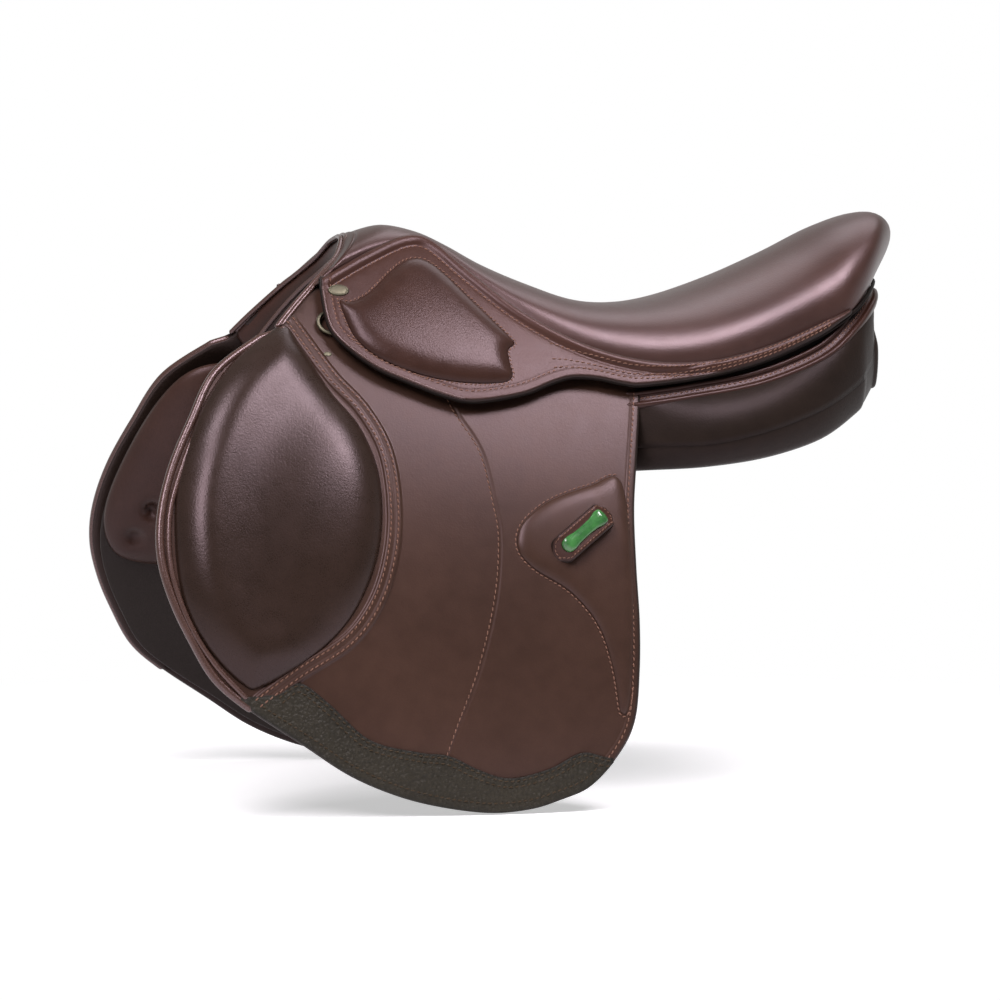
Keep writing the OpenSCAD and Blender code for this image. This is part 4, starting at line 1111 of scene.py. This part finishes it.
# Toe rim, with its seams: distance from the edge and room to the outline
RIM_T = 1.6
RIM_LIFT = 0.3
RIM_IN = 0.4
RIM_UPPER_SEAMS = (2.6, 6.4)
RIM_UPPER_ROOM = 2
RIM_LOWER_SEAM = 7.0
RIM_LOWER_ROOM = 6
rim_line = drawn(RIM_SHARES, FLAP_BOX)
rim_lower = np.array([p for p in flap_edge if p[1] < np.interp(-p[0], -rim_line[:, 0], rim_line[:, 1])])
rim_upper = rim_line[inside(rim_line, flap_outline)]
rim_outline = np.vstack([rim_upper[::-1], rim_lower])
rim_face = on_side(SIDE_R + RIM_T + RIM_LIFT)
rim_cut = inset(spaced(rim_outline, closed=True), RIM_IN)
rim_leaf = leaf(rim_cut, rim_face, RIM_T, gap=3.6, soft=1.0, dress=1.2)
rims = pair("toe_rim", rim_leaf, RIM_LEATHER, "flap", ["toe_rim"], slot="rim_leather")
rim_thread = [sewn_row(within(beside(rim_upper, d), rim_outline, RIM_UPPER_ROOM), rim_face)
              for d in RIM_UPPER_SEAMS]
rim_lower_seam = within(beside(rim_lower, -RIM_LOWER_SEAM), rim_outline, RIM_LOWER_ROOM)
rim_thread.append(sewn_row(rim_lower_seam, rim_face))
pair("toe_rim_stitches", joined(*rim_thread), RIM_THREAD, "flap")

# Keeper: a leather loop on the flap with an enamel plate; its outlines are points (along, across)
KEEPER_AT_SHARES = (0.882, 0.486)
KEEPER_TURN = np.radians(39)
KEEPER_LEN = 54.0
KEEPER_W = 20.0
KEEPER_ROOM = 9.4
KEEPER_T = 2.5
KEEPER_LEG = 11.0
KEEPER_FOOT = 3.2
KEEPER_BOW = 0.012
KEEPER_BORDER = (2.0, 2.0, 0.9)
KEEPER_SEAM = 2.3
KEEPER_STEP = 2.0
KEEPER_SEAM_STEP = 1.5
KEEPER_SHARES = [(-0.5, -0.16), (-0.5, 0.16), (-0.4, 0.5), (0.4, 0.5), (0.5, 0.16), (0.5, -0.16),
                 (0.4, -0.5), (-0.4, -0.5)]
PLATE_LEN = 41.0
PLATE_W = 13.0
PLATE_LIFT = 0.3
PLATE_HALF_SHARES = [(-0.46, 0.34), (-0.34, 0.42), (-0.2, 0.35), (0, 0.33), (0.2, 0.36), (0.34, 0.46),
                     (0.46, 0.38)]
PLATE_SHARES = [(-0.5, 0), *PLATE_HALF_SHARES, (0.5, 0), *[(x, -y) for x, y in PLATE_HALF_SHARES[::-1]]]
keeper_centre, keeper_out, keeper_up = spot(in_box([KEEPER_AT_SHARES], FLAP_BOX)[0], SIDE_R)
keeper_long = np.cos(KEEPER_TURN) * np.array([-1.0, 0, 0]) + np.sin(KEEPER_TURN) * keeper_up
keeper_wide = np.cross(keeper_out, keeper_long)
keeper_outline = spaced(np.array(KEEPER_SHARES) * (KEEPER_LEN, KEEPER_W), KEEPER_STEP, True)


def keeper_face(p, h=0):
    """Points of the keeper in space; it arches from its two ends."""
    along = smooth((KEEPER_LEN / 2 - np.abs(p[:, 0])) / KEEPER_LEG)
    high = mix(KEEPER_FOOT, KEEPER_ROOM + KEEPER_T, along) - KEEPER_BOW * p[:, 1] ** 2 + h
    return keeper_centre + p[:, :1] * keeper_long + p[:, 1:] * keeper_wide + high[:, None] * keeper_out


def keeper_top(p, h=0):
    """The keeper's face with its raised border."""
    return keeper_face(p, h + bead(away(p, looped(keeper_outline)), *KEEPER_BORDER))


keeper_leaf = leaf(keeper_outline, keeper_top, KEEPER_T, gap=1.8, soft=1.0, dress=1.0)
pair("keeper", keeper_leaf, RED_LEATHER, "flap", ["keeper"], slot="leather")
keeper_seam = keeper_top(spaced(looped(inset(keeper_outline, KEEPER_SEAM)), KEEPER_SEAM_STEP))
keeper_thread = stitched(keeper_seam, np.repeat(keeper_out[None], len(keeper_seam), 0), pitch=3.0, r=0.4)
pair("keeper_stitches", keeper_thread, THREAD, "flap")
plate_outline = bent(np.array(PLATE_SHARES) * (PLATE_LEN, PLATE_W), steps=4, closed=True)
plate, _ = pad(plate_outline, lambda p, h=0: keeper_face(p, h + PLATE_LIFT),
               rise=2.0, gap=1.6, power=0.4, sink=0.6)
pair("keeper_plate", plate, ENAMEL, "flap", ["keeper_plate"], slot="enamel")

# Front facing: two thin rolls over the arch, forward and up from its line, and the lining inside them
FACING_R = 1.9
FACING_ROLLS = ((1.3, -0.6), (-2.4, 0.6))
ARCH_SINK = 1
HEAD_MID_R = 551.8
HEAD_ROOM = 14.0
ARCH_LINING_T = 1.6
# Share of the way inward, depth, and how much painted shade darkens the lining there: lines by the rolls and
# the gullet's shaded inside
ARCH_DEPTHS = ((0, 20, 0.9), (0.25, 24, 0), (0.5, 24, 0.9), (0.75, 20, 1), (1, 14, 1), (1, -6, 1),
               (1, -30, 1))
ARCH_PIPING_ROW = 2
arch_half = bent(wrapped(ARCH_SHARES, SIDE_R - ARCH_SINK))
arch_path = spaced(np.vstack([(arch_half * MIRROR)[::-1], arch_half[1:]]))
make("front_facing", joined(*[roll(arch_path + (ahead, 0, rise), FACING_R) for ahead, rise in FACING_ROLLS]),
     PIPING, stands_for=["front_facing"], slot="leather")
head_half = wrapped(HEAD_SHARES, HEAD_MID_R)
head_path = spaced(bent(np.vstack([head_half, (head_half * MIRROR)[-2::-1]])))
arch_inner = picked(head_path, len(arch_path))[::-1]
head_t = unit(np.gradient(arch_inner, axis=0) * (0, 1, 1))
arch_inner = arch_inner + HEAD_ROOM * np.column_stack([np.zeros(len(head_t)), head_t[:, 2], -head_t[:, 1]])
arch_grid = np.stack([mix(arch_path, arch_inner + (depth, 0, 0), smooth(t)) for t, depth, _ in ARCH_DEPTHS],
                     axis=1)
# The lining's dark parts are painted shade: dark lines stand for the grooves by the rolls and a dark inside
# for the shaded gullet
arch_lining_with_painted_shade = sheet(arch_grid, arch_grid - ARCH_LINING_T * grid_out(arch_grid))
arch_lining_with_painted_shade.edge = np.tile([dark for *_, dark in ARCH_DEPTHS], 2 * len(arch_grid)).astype(float)
stretched(make("arch_lining_with_painted_shade", arch_lining_with_painted_shade, LEATHER, slot="dark_leather"), arch_grid, "tree_head")
make("arch_piping", roll(arch_grid[:, ARCH_PIPING_ROW], FACING_R), PIPING, slot="leather")

# Pommel strip, from the seat's front edge to the facing
POMMEL_HALF = 74.0
POMMEL_ROWS = 6
POMMEL_T = 1.5
POMMEL_SINK = (0, 0, 1.0)
POMMEL_CROWN = (0, 0, 0.8)
pommel_rim = evenly(arch_path[np.abs(arch_path[:, 1]) < POMMEL_HALF], SEAT_COLS + 1)
pommel_grid = np.stack([mix(seat_top[0], pommel_rim - POMMEL_SINK, t)
                        for t in np.linspace(0, 1, POMMEL_ROWS)])
pommel_grid[1:-1] += POMMEL_CROWN
pommel_sheet = sheet(pommel_grid, pommel_grid - (0, 0, POMMEL_T))
stretched(make("pommel_strip", pommel_sheet, LEATHER, slot="leather"), pommel_grid, "tree_head")

# Rear facing: a stitched strip between two rolls; its section is points (across, out)
FACING_PROFILE = [(-6.6, -3), (6.6, -3), (7.2, 0.4), (6.3, 2.6), (4.7, 3.3), (3.1, 2.6), (2.3, 1.0),
                  (0, 0.7), (-2.3, 1.0), (-3.1, 2.6), (-4.7, 3.3), (-6.3, 2.6), (-7.2, 0.4)]
CANTLE_OUT = (-1.0, 0, 0.3)
REAR_SEAM_UP = 0.6
REAR_SEAM_OUT = 0.7
rear_near = [s[2] for s in FACING_SHARES]
rear_half = bent(np.column_stack([wrapped(FACING_SHARES, SIDE_R), rear_near]))
rear_line = spaced(np.vstack([rear_half, rear_half[::-1] * (*MIRROR, 1)]))
rear_path, near = rear_line[:, :3], rear_line[:, 3:]
hand_way = np.sign(rear_path[:, 1:2])
to_left = np.hstack([hand_way ** 2, hand_way, hand_way ** 2])
rear_out = unit(near * outward(rear_path * to_left) * to_left + (1 - near) * CANTLE_OUT)
rear_across = unit(np.cross(rear_out, unit(np.gradient(rear_path, axis=0))))
make("rear_facing", band(rear_path, rear_out, bent(FACING_PROFILE, 3, True)), LEATHER,
     stands_for=["rear_facing"], slot="leather")

# Cantle strip, from the seat's edge to the facing: it meets the facing at a place up and out from its line
STRIP_FRONT = -60.0
STRIP_IN = 5.0
STRIP_MIDDLE = (-120.0, 0.0, 20.0)
STRIP_SINK = 0.4
STRIP_ROWS = 5
STRIP_COLS = 90
STRIP_STEP = 2.0
FACING_UPPER = (3.5, -3.2)
FACING_LOWER = (-4.0, 1.2)
cantle_edge = below_edge(WELT_DROP)
cantle_half = spaced(cantle_edge[cantle_edge[:, 0] < STRIP_FRONT], STRIP_STEP)
cantle_line = np.vstack([cantle_half, cantle_half[::-1] * MIRROR])
nearest = np.argmin(((cantle_line[:, None] - rear_path) ** 2).sum(2), axis=1)
cantle_line = cantle_line - STRIP_IN * rear_out[nearest]
by_strip = rear_path[:, 0] < STRIP_FRONT
upper, lower = (evenly((rear_path + up * rear_across + out * rear_out)[by_strip], STRIP_COLS)
                for up, out in (FACING_UPPER, FACING_LOWER))


def rear_strip(name, grid, finish, thick):
    """A leather strip over a grid of points at the saddle's rear."""
    way = grid_out(grid)
    way = way * np.sign((way * (grid - STRIP_MIDDLE)).sum(2, keepdims=True))
    strip = make(name, sheet(grid + thick * way, grid - STRIP_SINK * way), finish, slot="dark_leather")
    stretched(strip, grid, "tree_cantle")


cantle_grid = np.stack([mix(evenly(cantle_line, STRIP_COLS), upper, t)
                        for t in np.linspace(0, 1, STRIP_ROWS)])
rear_strip("cantle_strip", cantle_grid, DARK_LEATHER, thick=1.0)
rear_seam = rear_path + REAR_SEAM_UP * rear_across + REAR_SEAM_OUT * rear_out
make("rear_facing_stitches", stitched(rear_seam, rear_out), THREAD)

# Panels
FLAP_REAR_X = FLAP_BOX[0] - FLAP_BOX[1]
FLAP_REAR_ROOM = 1
PANEL_STEPS = 7
SECTION_STEPS = 4
# The panel's rounded ends: shares of the section's width and height, mm along x
PANEL_END = ((0.97, 0.985, 2.0), (0.9, 0.95, 3.8), (0.76, 0.88, 5.2), (0.52, 0.74, 6.2), (0.25, 0.5, 6.6))
# The stuffing moves a section's points from the first number to the second from its end
BELLY_FIRST = 20
BELLY_LAST = 8


def panel_ring(s):
    """A section of the panel, from its inner top edge outward and round below."""
    x, wide = SEAT_BOX[0] - s[0] * SEAT_BOX[1], s[4] * PANEL_HALF
    inner_y = s[1] * PANEL_HALF
    top, rim, mid, low, inner = (PANEL_LIFT * s[k] for k in (2, 3, 5, 6, 7))

    def kept(z):
        return min(wide, side_y(z, PANEL_OUT)) if x > FLAP_REAR_X + FLAP_REAR_ROOM else wide

    y, step = kept(mid), mix(mid, rim, 0.4)
    y_rim = min(side_y(rim, PANEL_OUT), 0.97 * y)
    section = [(inner_y, top), (mix(inner_y, y_rim, 0.5), mix(top, rim, 0.5) + 0.05 * PANEL_LIFT),
               (y_rim, rim), (mix(y_rim, kept(step), 0.8), step), (y, mid), (0.97 * y, mix(low, mid, 0.3)),
               (0.88 * y, low), (mix(inner_y, y, 0.5), mix(inner, low, 0.4)),
               (inner_y + 0.04 * PANEL_HALF, inner), (inner_y, mix(top, inner, 0.5))]
    return bent([(x, a, b) for a, b in section], SECTION_STEPS, True)


def end_rings(ring, way):
    """Rings that round off the panel's end."""
    centre = ring.mean(0)
    return [centre + (ring - centre) * (1, wide, tall) + (way * a, 0, 0) for wide, tall, a in PANEL_END]


panel_rows = np.array([panel_ring(s) for s in PANEL_SHARES])
panel_n = panel_rows.shape[1]
panel_flow = np.stack([bent(panel_rows[:, j], PANEL_STEPS) for j in range(panel_n)], axis=1)
panel_rings = [*end_rings(panel_flow[0], 1)[::-1], *panel_flow, *end_rings(panel_flow[-1], -1)]
ring_index = np.append(np.tile(np.arange(panel_n), len(panel_rings)), [0, 0])
panel_held = (ring_index < BELLY_FIRST) | (ring_index > panel_n - BELLY_LAST)
panel = puffed(loft(panel_rings).turned_out(), panel_held, pressure=1.2, cap=2.0)
pair("panel", panel, PANEL_LEATHER, "saddle", ["panel"], slot="dark_leather", fill=0.6)

# Rear gusset: it runs from the facing to the panel's side, and below the cantle where it crosses the channel
GUSSET_ROW = 17
GUSSET_ROWS = 11
GUSSET_T = 0.4
GUSSET_R = 559.0
GUSSET_BEND = (0.35, 1.0, 0.35)
CHANNEL_EDGE = (55.0, 80.0)
CHANNEL_NARROW = (1, 0.94, 1)
CHANNEL_MOVE = (12, 0, -18)
FLAP_CLEAR = 4
FLAP_CLEAR_RUN = 8
panel_side = np.array([ring[GUSSET_ROW] for ring in panel_rings])[::-1]
side_out, side_up = (np.interp(lower[:, 0], panel_side[:, 0], panel_side[:, k]) for k in (1, 2))
on_panel = np.column_stack([lower[:, 0], np.sign(lower[:, 1]) * side_out, side_up])
over_panel = smooth((np.abs(lower[:, 1:2]) - CHANNEL_EDGE[0]) / (CHANNEL_EDGE[1] - CHANNEL_EDGE[0]))
gusset_end = mix(lower * CHANNEL_NARROW + CHANNEL_MOVE, on_panel, over_panel)
gusset_bend = mix(lower, gusset_end, GUSSET_BEND)
gusset_grid = np.stack([mix(mix(lower, gusset_bend, t), mix(gusset_bend, gusset_end, t), t)
                        for t in np.linspace(0, 1, GUSSET_ROWS)])
# It passes inside the flap
gusset_y = np.abs(gusset_grid[..., 1])
under_flap = np.minimum(gusset_y, side_y(gusset_grid[..., 2], GUSSET_R))
clear = smooth((FLAP_REAR_X + FLAP_CLEAR - gusset_grid[..., 0]) / FLAP_CLEAR_RUN)
gusset_grid[..., 1] = np.sign(gusset_grid[..., 1]) * mix(under_flap, gusset_y, clear)
rear_strip("rear_gusset", gusset_grid, PANEL_LEATHER, GUSSET_T)

# Front lobes of the panels
TUFT_SHARES = [(0.122, 0.425), (0.086, 0.490)]
TUFT_W = 6.0
TUFT_DEEP = 0.5
tufts = in_box(TUFT_SHARES, FLAP_BOX)


def tufted(p):
    """The lobe's stuffing drawn in at its two tufts."""
    return 1 - TUFT_DEEP * sum(np.exp(-(np.linalg.norm(p - at, axis=1) / TUFT_W) ** 2) for at in tufts)


# The lobes are lighter than the panel: painted light on the far lobe seen through the arch
stuffed("panel_lobe", drawn(LOBE_SHARES, FLAP_BOX, closed=True), on_side(LOBE_OUT), LOBE_LEATHER_WITH_PAINTED_LIGHT, "saddle",
        pressure=1.5, cap=3.0, fill=0.6, rise=20.0, gap=3.4, power=0.5, sink=0.2, way=-1, swell=tufted)

# Sweat flaps and knee blocks
SWEAT_FOCUS = np.array([0.5, 0.5])
BLOCK_ROOM = 0.3
sweat_front = [SWEAT_FOCUS + (np.array(s) - SWEAT_FOCUS) * SWEAT_INSET for s in FLAP_EDGE_SHARES
               if s[1] > SWEAT_TOP_SHARES[-1][1] and (s[0] <= 1 or s[1] > SWEAT_TOP_SHARES[0][1])]
sweat_outline = np.vstack([drawn(sweat_front, FLAP_BOX), drawn(SWEAT_TOP_SHARES, FLAP_BOX)])
sweat_flaps = pair("sweat_flap", leaf(sweat_outline, on_side(SWEAT_OUT), SWEAT_T, gap=6.0, soft=1.5), LINING,
                   "saddle", ["sweat_flap"], slot="lining_leather")
block_outline = drawn(BLOCK_SHARES, FLAP_BOX, closed=True)
stuffed("knee_block", block_outline, on_side(SWEAT_OUT + BLOCK_ROOM), LINING, "saddle",
        pressure=1.0, cap=0.4, fill=0.7, slot="lining_leather", rise=WEB_OUT - SWEAT_OUT - 2 * BLOCK_ROOM,
        gap=5.0, power=0.35, sink=0.0)

# Girth straps with their holes, the webs that carry them and the guards over them
STRAP_SHARES = {"strap_front": 0.575, "strap_rear": 0.75}
STRAP_TOP_SHARE = 0.228
STRAP_W = 25.0
STRAP_LEN = 190.0
STRAP_TIP = 10.0
HOLE_START = 30.0
HOLE_PITCH = 25.0
HOLE_R = 2.6
HOLES = 6
HOLE_SIDES = 16
HEM_SINK = 0.35
HEM_IN = 3
HEM_END = 2
strap_top = FLAP_BOX[2] + STRAP_TOP_SHARE * FLAP_BOX[3]
strap_end = strap_top - STRAP_LEN
strap_x = {name: FLAP_BOX[0] - share * FLAP_BOX[1] for name, share in STRAP_SHARES.items()}
hole_turn = np.arange(HOLE_SIDES) * 2 * np.pi / HOLE_SIDES
hole = HOLE_R * np.column_stack([np.cos(hole_turn), np.sin(hole_turn)])
for name, x in strap_x.items():
    half = STRAP_W / 2
    outline = np.array([(x - half, strap_top), (x + half, strap_top), (x + half, strap_end + STRAP_TIP),
                        (x, strap_end), (x - half, strap_end + STRAP_TIP)])
    holes = [np.array((x, strap_end + HOLE_START + i * HOLE_PITCH)) + hole for i in range(HOLES)]
    strap = leaf(outline, on_side(STRAP_OUT), STRAP_T, gap=5.0, soft=1.2, holes=holes)
    pair(name, strap, DARK_LEATHER, name, [name], slot="dark_leather")
    ends = strap_top - HEM_IN, strap_end + STRAP_TIP + HEM_END
    hems = [sewn_row(np.array([(x + s * (half - HEM_IN), z) for z in ends]), on_side(STRAP_OUT - HEM_SINK))
            for s in (-1, 1)]
    pair(f"{name}_stitches", joined(*hems), DARK_THREAD, name)
WEB_RISE = 34.0
WEB_CORNER_SHARE = 0.75
web_front, web_rear = strap_x["strap_front"] + STRAP_W, strap_x["strap_rear"] - STRAP_W
web_low, web_high = strap_top - STRAP_W / 2, strap_top + WEB_RISE
web_outline = np.array([(web_rear, web_low), (web_front, web_low), (web_front, web_high),
                        (web_rear + STRAP_W * WEB_CORNER_SHARE, web_high),
                        (web_rear, strap_top + WEB_RISE / 2)])
webs = pair("girth_web", leaf(web_outline, on_side(WEB_OUT), WEB_T, gap=5.0, soft=0.7), WEB, "saddle",
            ["girth_web"], slot="webbing")
GUARD_DROP = 50.0
GUARD_LEN = 70.0
GUARD_T = 1.2
GUARD_SINK = 0.2
guard_top = strap_top - GUARD_DROP
guard_outline = rect(web_rear, web_front, guard_top, guard_top - GUARD_LEN)
guards = pair("buckle_guard", leaf(guard_outline, on_side(WEB_OUT - GUARD_SINK), GUARD_T, gap=5.0, soft=0.5),
              LINING, "saddle", ["buckle_guard"], slot="leather")

# Seat web, under the seat's middle
SEAT_WEB_ROWS = slice(10, 60)
SEAT_WEB_COLS = slice(SEAT_COLS // 2 - 9, SEAT_COLS // 2 + 10)
SEAT_WEB_DROP = 2.6
web_top = seat_low[SEAT_WEB_ROWS, SEAT_WEB_COLS] - (0, 0, SEAT_WEB_DROP)
seat_web = make("seat_web", sheet(web_top, web_top - (0, 0, WEB_T)), WEB, stands_for=["seat_web"],
                slot="webbing")
stretched(seat_web, web_top, "tree_head", "tree_cantle")

# Channel lining, laid over the inner top edges of the panels
LINING_T = 2.0
LINING_LAP_SHARE = 0.035
LINING_LIFT = 0.8
LINING_CROWN = 1.2
LINING_STEPS = 5
LINING_COLS = 13
lining_v = np.linspace(-1, 1, LINING_COLS)
lining_rows = []
for s in bent(np.array(PANEL_SHARES)[1:-2], LINING_STEPS):
    x, y = SEAT_BOX[0] - s[0] * SEAT_BOX[1], (s[1] + LINING_LAP_SHARE) * PANEL_HALF
    z = s[2] * PANEL_LIFT + LINING_LIFT + LINING_T + LINING_CROWN * (1 - lining_v * lining_v)
    lining_rows.append(np.column_stack([np.full(LINING_COLS, x), y * lining_v, z]))
lining_top = np.array(lining_rows)
lining = make("channel_lining", sheet(lining_top, lining_top - (0, 0, LINING_T)), LINING,
              stands_for=["channel_lining"], slot="lining_leather")
stretched(lining, lining_top, "panel_left", "panel_right")

# Dee chapes: a leather loop around each dee's bar and its tail; the section is points (forward, out)
DEE_AHEAD = 54.0
SLEEVE_R = 2.6
CHAPE_LIFT = 0.4
CHAPE_LEN = 18.0
CHAPE_HALF = 4.5
CHAPE_NECK = (1, 1.2)
CHAPE_TAIL = 1.4
LOOP_STEPS = 16
CHAPE_RINGS = 5
dee_centre, dee_out, dee_up = spot(bar_at + (DEE_AHEAD, 0), SIDE_R + CHAPE_LIFT + SLEEVE_R)
loop_turn = np.linspace(-np.pi / 2, np.pi, LOOP_STEPS)
loop_line = SLEEVE_R * np.column_stack([np.cos(loop_turn), np.sin(loop_turn)])
chape_line = np.array([(-CHAPE_LEN, -SLEEVE_R), (-SLEEVE_R, -SLEEVE_R), *loop_line,
                       (-SLEEVE_R - CHAPE_NECK[0], -CHAPE_NECK[1]), (-CHAPE_LEN, -CHAPE_TAIL)])
chape = loft([dee_centre + chape_line[:, :1] * (1, 0, 0) + chape_line[:, 1:] * dee_out + w * dee_up
              for w in np.linspace(-CHAPE_HALF, CHAPE_HALF, CHAPE_RINGS)]).turned_out()
make("dee_chapes", joined(chape, chape.mirrored(-1)), RED_LEATHER, stands_for=["dee_chapes"], slot="leather")

# Saddle nails and the studs below them; the profile is points (share of the radius, height)
NAIL_SHARES = (-0.065, -0.04)
STUD_SHARES = (-0.093, -0.59)
NAIL_R = 6.4
STUD_R = 2.5
NAIL_OVAL = (1.15, 0.78)
NAIL_SIDES = 32
NAIL_PROFILE = [(0, 1.5), (0.35, 1.45), (0.66, 1.3), (0.8, 1.1), (0.84, 0.9), (0.89, 1.2), (0.96, 1.0),
                (1, 0.5), (0.96, -0.6), (0, -0.8)]


def nail(shares, layer, r):
    """A turned head with a fine bead along its rim."""
    centre, out, up = spot(in_box([shares], SEAT_BOX)[0], layer)
    turn = np.linspace(0, 2 * np.pi, NAIL_SIDES, endpoint=False)[:, None]
    around = np.cos(turn) * NAIL_OVAL[0] * np.array([1.0, 0, 0]) + np.sin(turn) * NAIL_OVAL[1] * up
    profile = bent(NAIL_PROFILE, 3)[1:-1]
    rings = [centre + wide * r * around + high * r / NAIL_R * out for wide, high in profile]
    return loft(rings).turned_out()


nails = joined(nail(NAIL_SHARES, SKIRT_OUT, NAIL_R), nail(STUD_SHARES, SIDE_R, STUD_R))
make("saddle_nails", joined(nails, nails.mirrored(-1)), BRASS, stands_for=["saddle_nails"], slot="brass")

# Hard parts keep their solids and get their own finish
HARD_PARTS = ((WOOD, ("tree_head", "tree_rail_left", "tree_rail_right", "tree_cantle")),
              (STEEL, ("head_plate", "head_rivets", "stirrup_bar_left", "stirrup_bar_right", "bar_rivets",
                       "catch_left", "catch_right", "catch_pins")),
              (BRASS, ("dee_left", "dee_right")))
for finish, names in HARD_PARTS:
    for name in names:
        mesh = frame["nodes"][name].data
        mesh.materials.clear()
        mesh.materials.append(finish)

# Stage: floor, light and camera
CAMERA_AT = np.array([629.0, 2522.0, 68.0])
TARGET = np.array([0.0, 0.0, -60.0])
LENS = 126.5
SENSOR = 36
FLOOR_HALF = 30.0
FLOOR_DROP = 1.0
FLOOR_NEAR = 0.35
FLOOR_FAR = 1.1
FLOOR_GREY = (0.86, 0.86, 0.86)
FLOOR_GLOW = (0.5, 0.5, 0.5)
ROOM = (0.13, 0.13, 0.135)
# The white sweep stands behind the saddle; reflections of the room above it and on the camera's side are dim
NEAR_ROOM = (0.25, 0.26, 0.25)
SWEEP_END = 0.5
SWEEP_FADE = 0.5
LAMP_TONE = (1.0, 0.95, 1.0)
# Place (m), size (m) and power (W)
LAMPS = {"far_lamp": ((-0.6, -0.8, 1.5), (1.2, 0.9), 6), "top_lamp": ((0.85, 0.45, 1.45), (0.5, 0.4), 9),
         "rear_lamp": ((-0.6, 1.0, 1.62), (0.7, 0.8), 31), "front_lamp": ((1.0, 1.2, 1.2), (0.6, 0.9), 22)}


def rays(n):
    """1 for rays that show the background straight, in a reflection, and through a clear piece."""
    kinds = ("Camera", "Glossy", "Transmission")
    return [n.node("ShaderNodeLightPath", output=f"Is {kind} Ray") for kind in kinds]


def floor():
    low, h = cad_box[0].z - FLOOR_DROP * MM, FLOOR_HALF
    obj = meshed("floor", [(-h, -h, low), (h, -h, low), (h, h, low), (-h, h, low)], [(0, 1, 2, 3)])
    f = Finish("floor")
    far = f.node("ShaderNodeVectorMath", {"operation": "LENGTH"}, {0: f.place()}, "Value")
    far = f.node("ShaderNodeMapRange", {"interpolation_type": "SMOOTHSTEP"},
                 {"Value": far, "From Min": FLOOR_NEAR, "From Max": FLOOR_FAR})
    glow = f.colour(f.clamp(sum(rays(f))), BLACK, f.colour(far, FLOOR_GLOW, WHITE))
    obj.data.materials.append(f.set(Base_Color=f.colour(far, FLOOR_GREY, BLACK), Roughness=1.0,
                                    Specular_IOR_Level=0.0, Emission_Color=glow, Emission_Strength=1.0))


def aimed(obj, at):
    """The object moved to a place in metres, to face the saddle."""
    obj.location = Vector(at)
    obj.rotation_euler = (Vector(TARGET * MM) - Vector(at)).to_track_quat("-Z", "Y").to_euler()
    return obj


def lamp(name, at, size, power):
    """A soft lamp that the camera doesn't see."""
    data = bpy.data.lights.new(name, "AREA")
    data.shape, data.size, data.size_y = "RECTANGLE", *size
    data.energy, data.color = power, LAMP_TONE
    aimed(placed(name, data), at).visible_camera = False


def world():
    made = bpy.data.worlds.new("studio")
    made.use_nodes = True
    bpy.context.scene.world = made
    n = Nodes(made.node_tree)
    seen, mirrored, through = rays(n)
    way = n.node("ShaderNodeTexCoord", output="Generated")
    parts = [n.node("ShaderNodeSeparateXYZ", {}, {0: way}, axis) for axis in "YZ"]
    across, up = (n.clamp((SWEEP_END - part) * (1 / SWEEP_FADE)) for part in parts)
    behind = n.colour(across * up, NEAR_ROOM, WHITE)
    n.feed(n.tree.nodes["Background"].inputs["Color"],
           n.colour(n.clamp(seen + through), n.colour(mirrored, ROOM, behind), WHITE))


def camera():
    data = bpy.data.cameras.new("camera")
    data.lens, data.sensor_width = LENS, SENSOR
    bpy.context.scene.camera = aimed(placed("camera", data), (CAMERA_AT + TARGET) * MM)


floor()
world()
camera()
for name, (at, size, power) in LAMPS.items():
    lamp(name, at, size, power)
bpy.context.scene.view_settings.view_transform = "Standard"
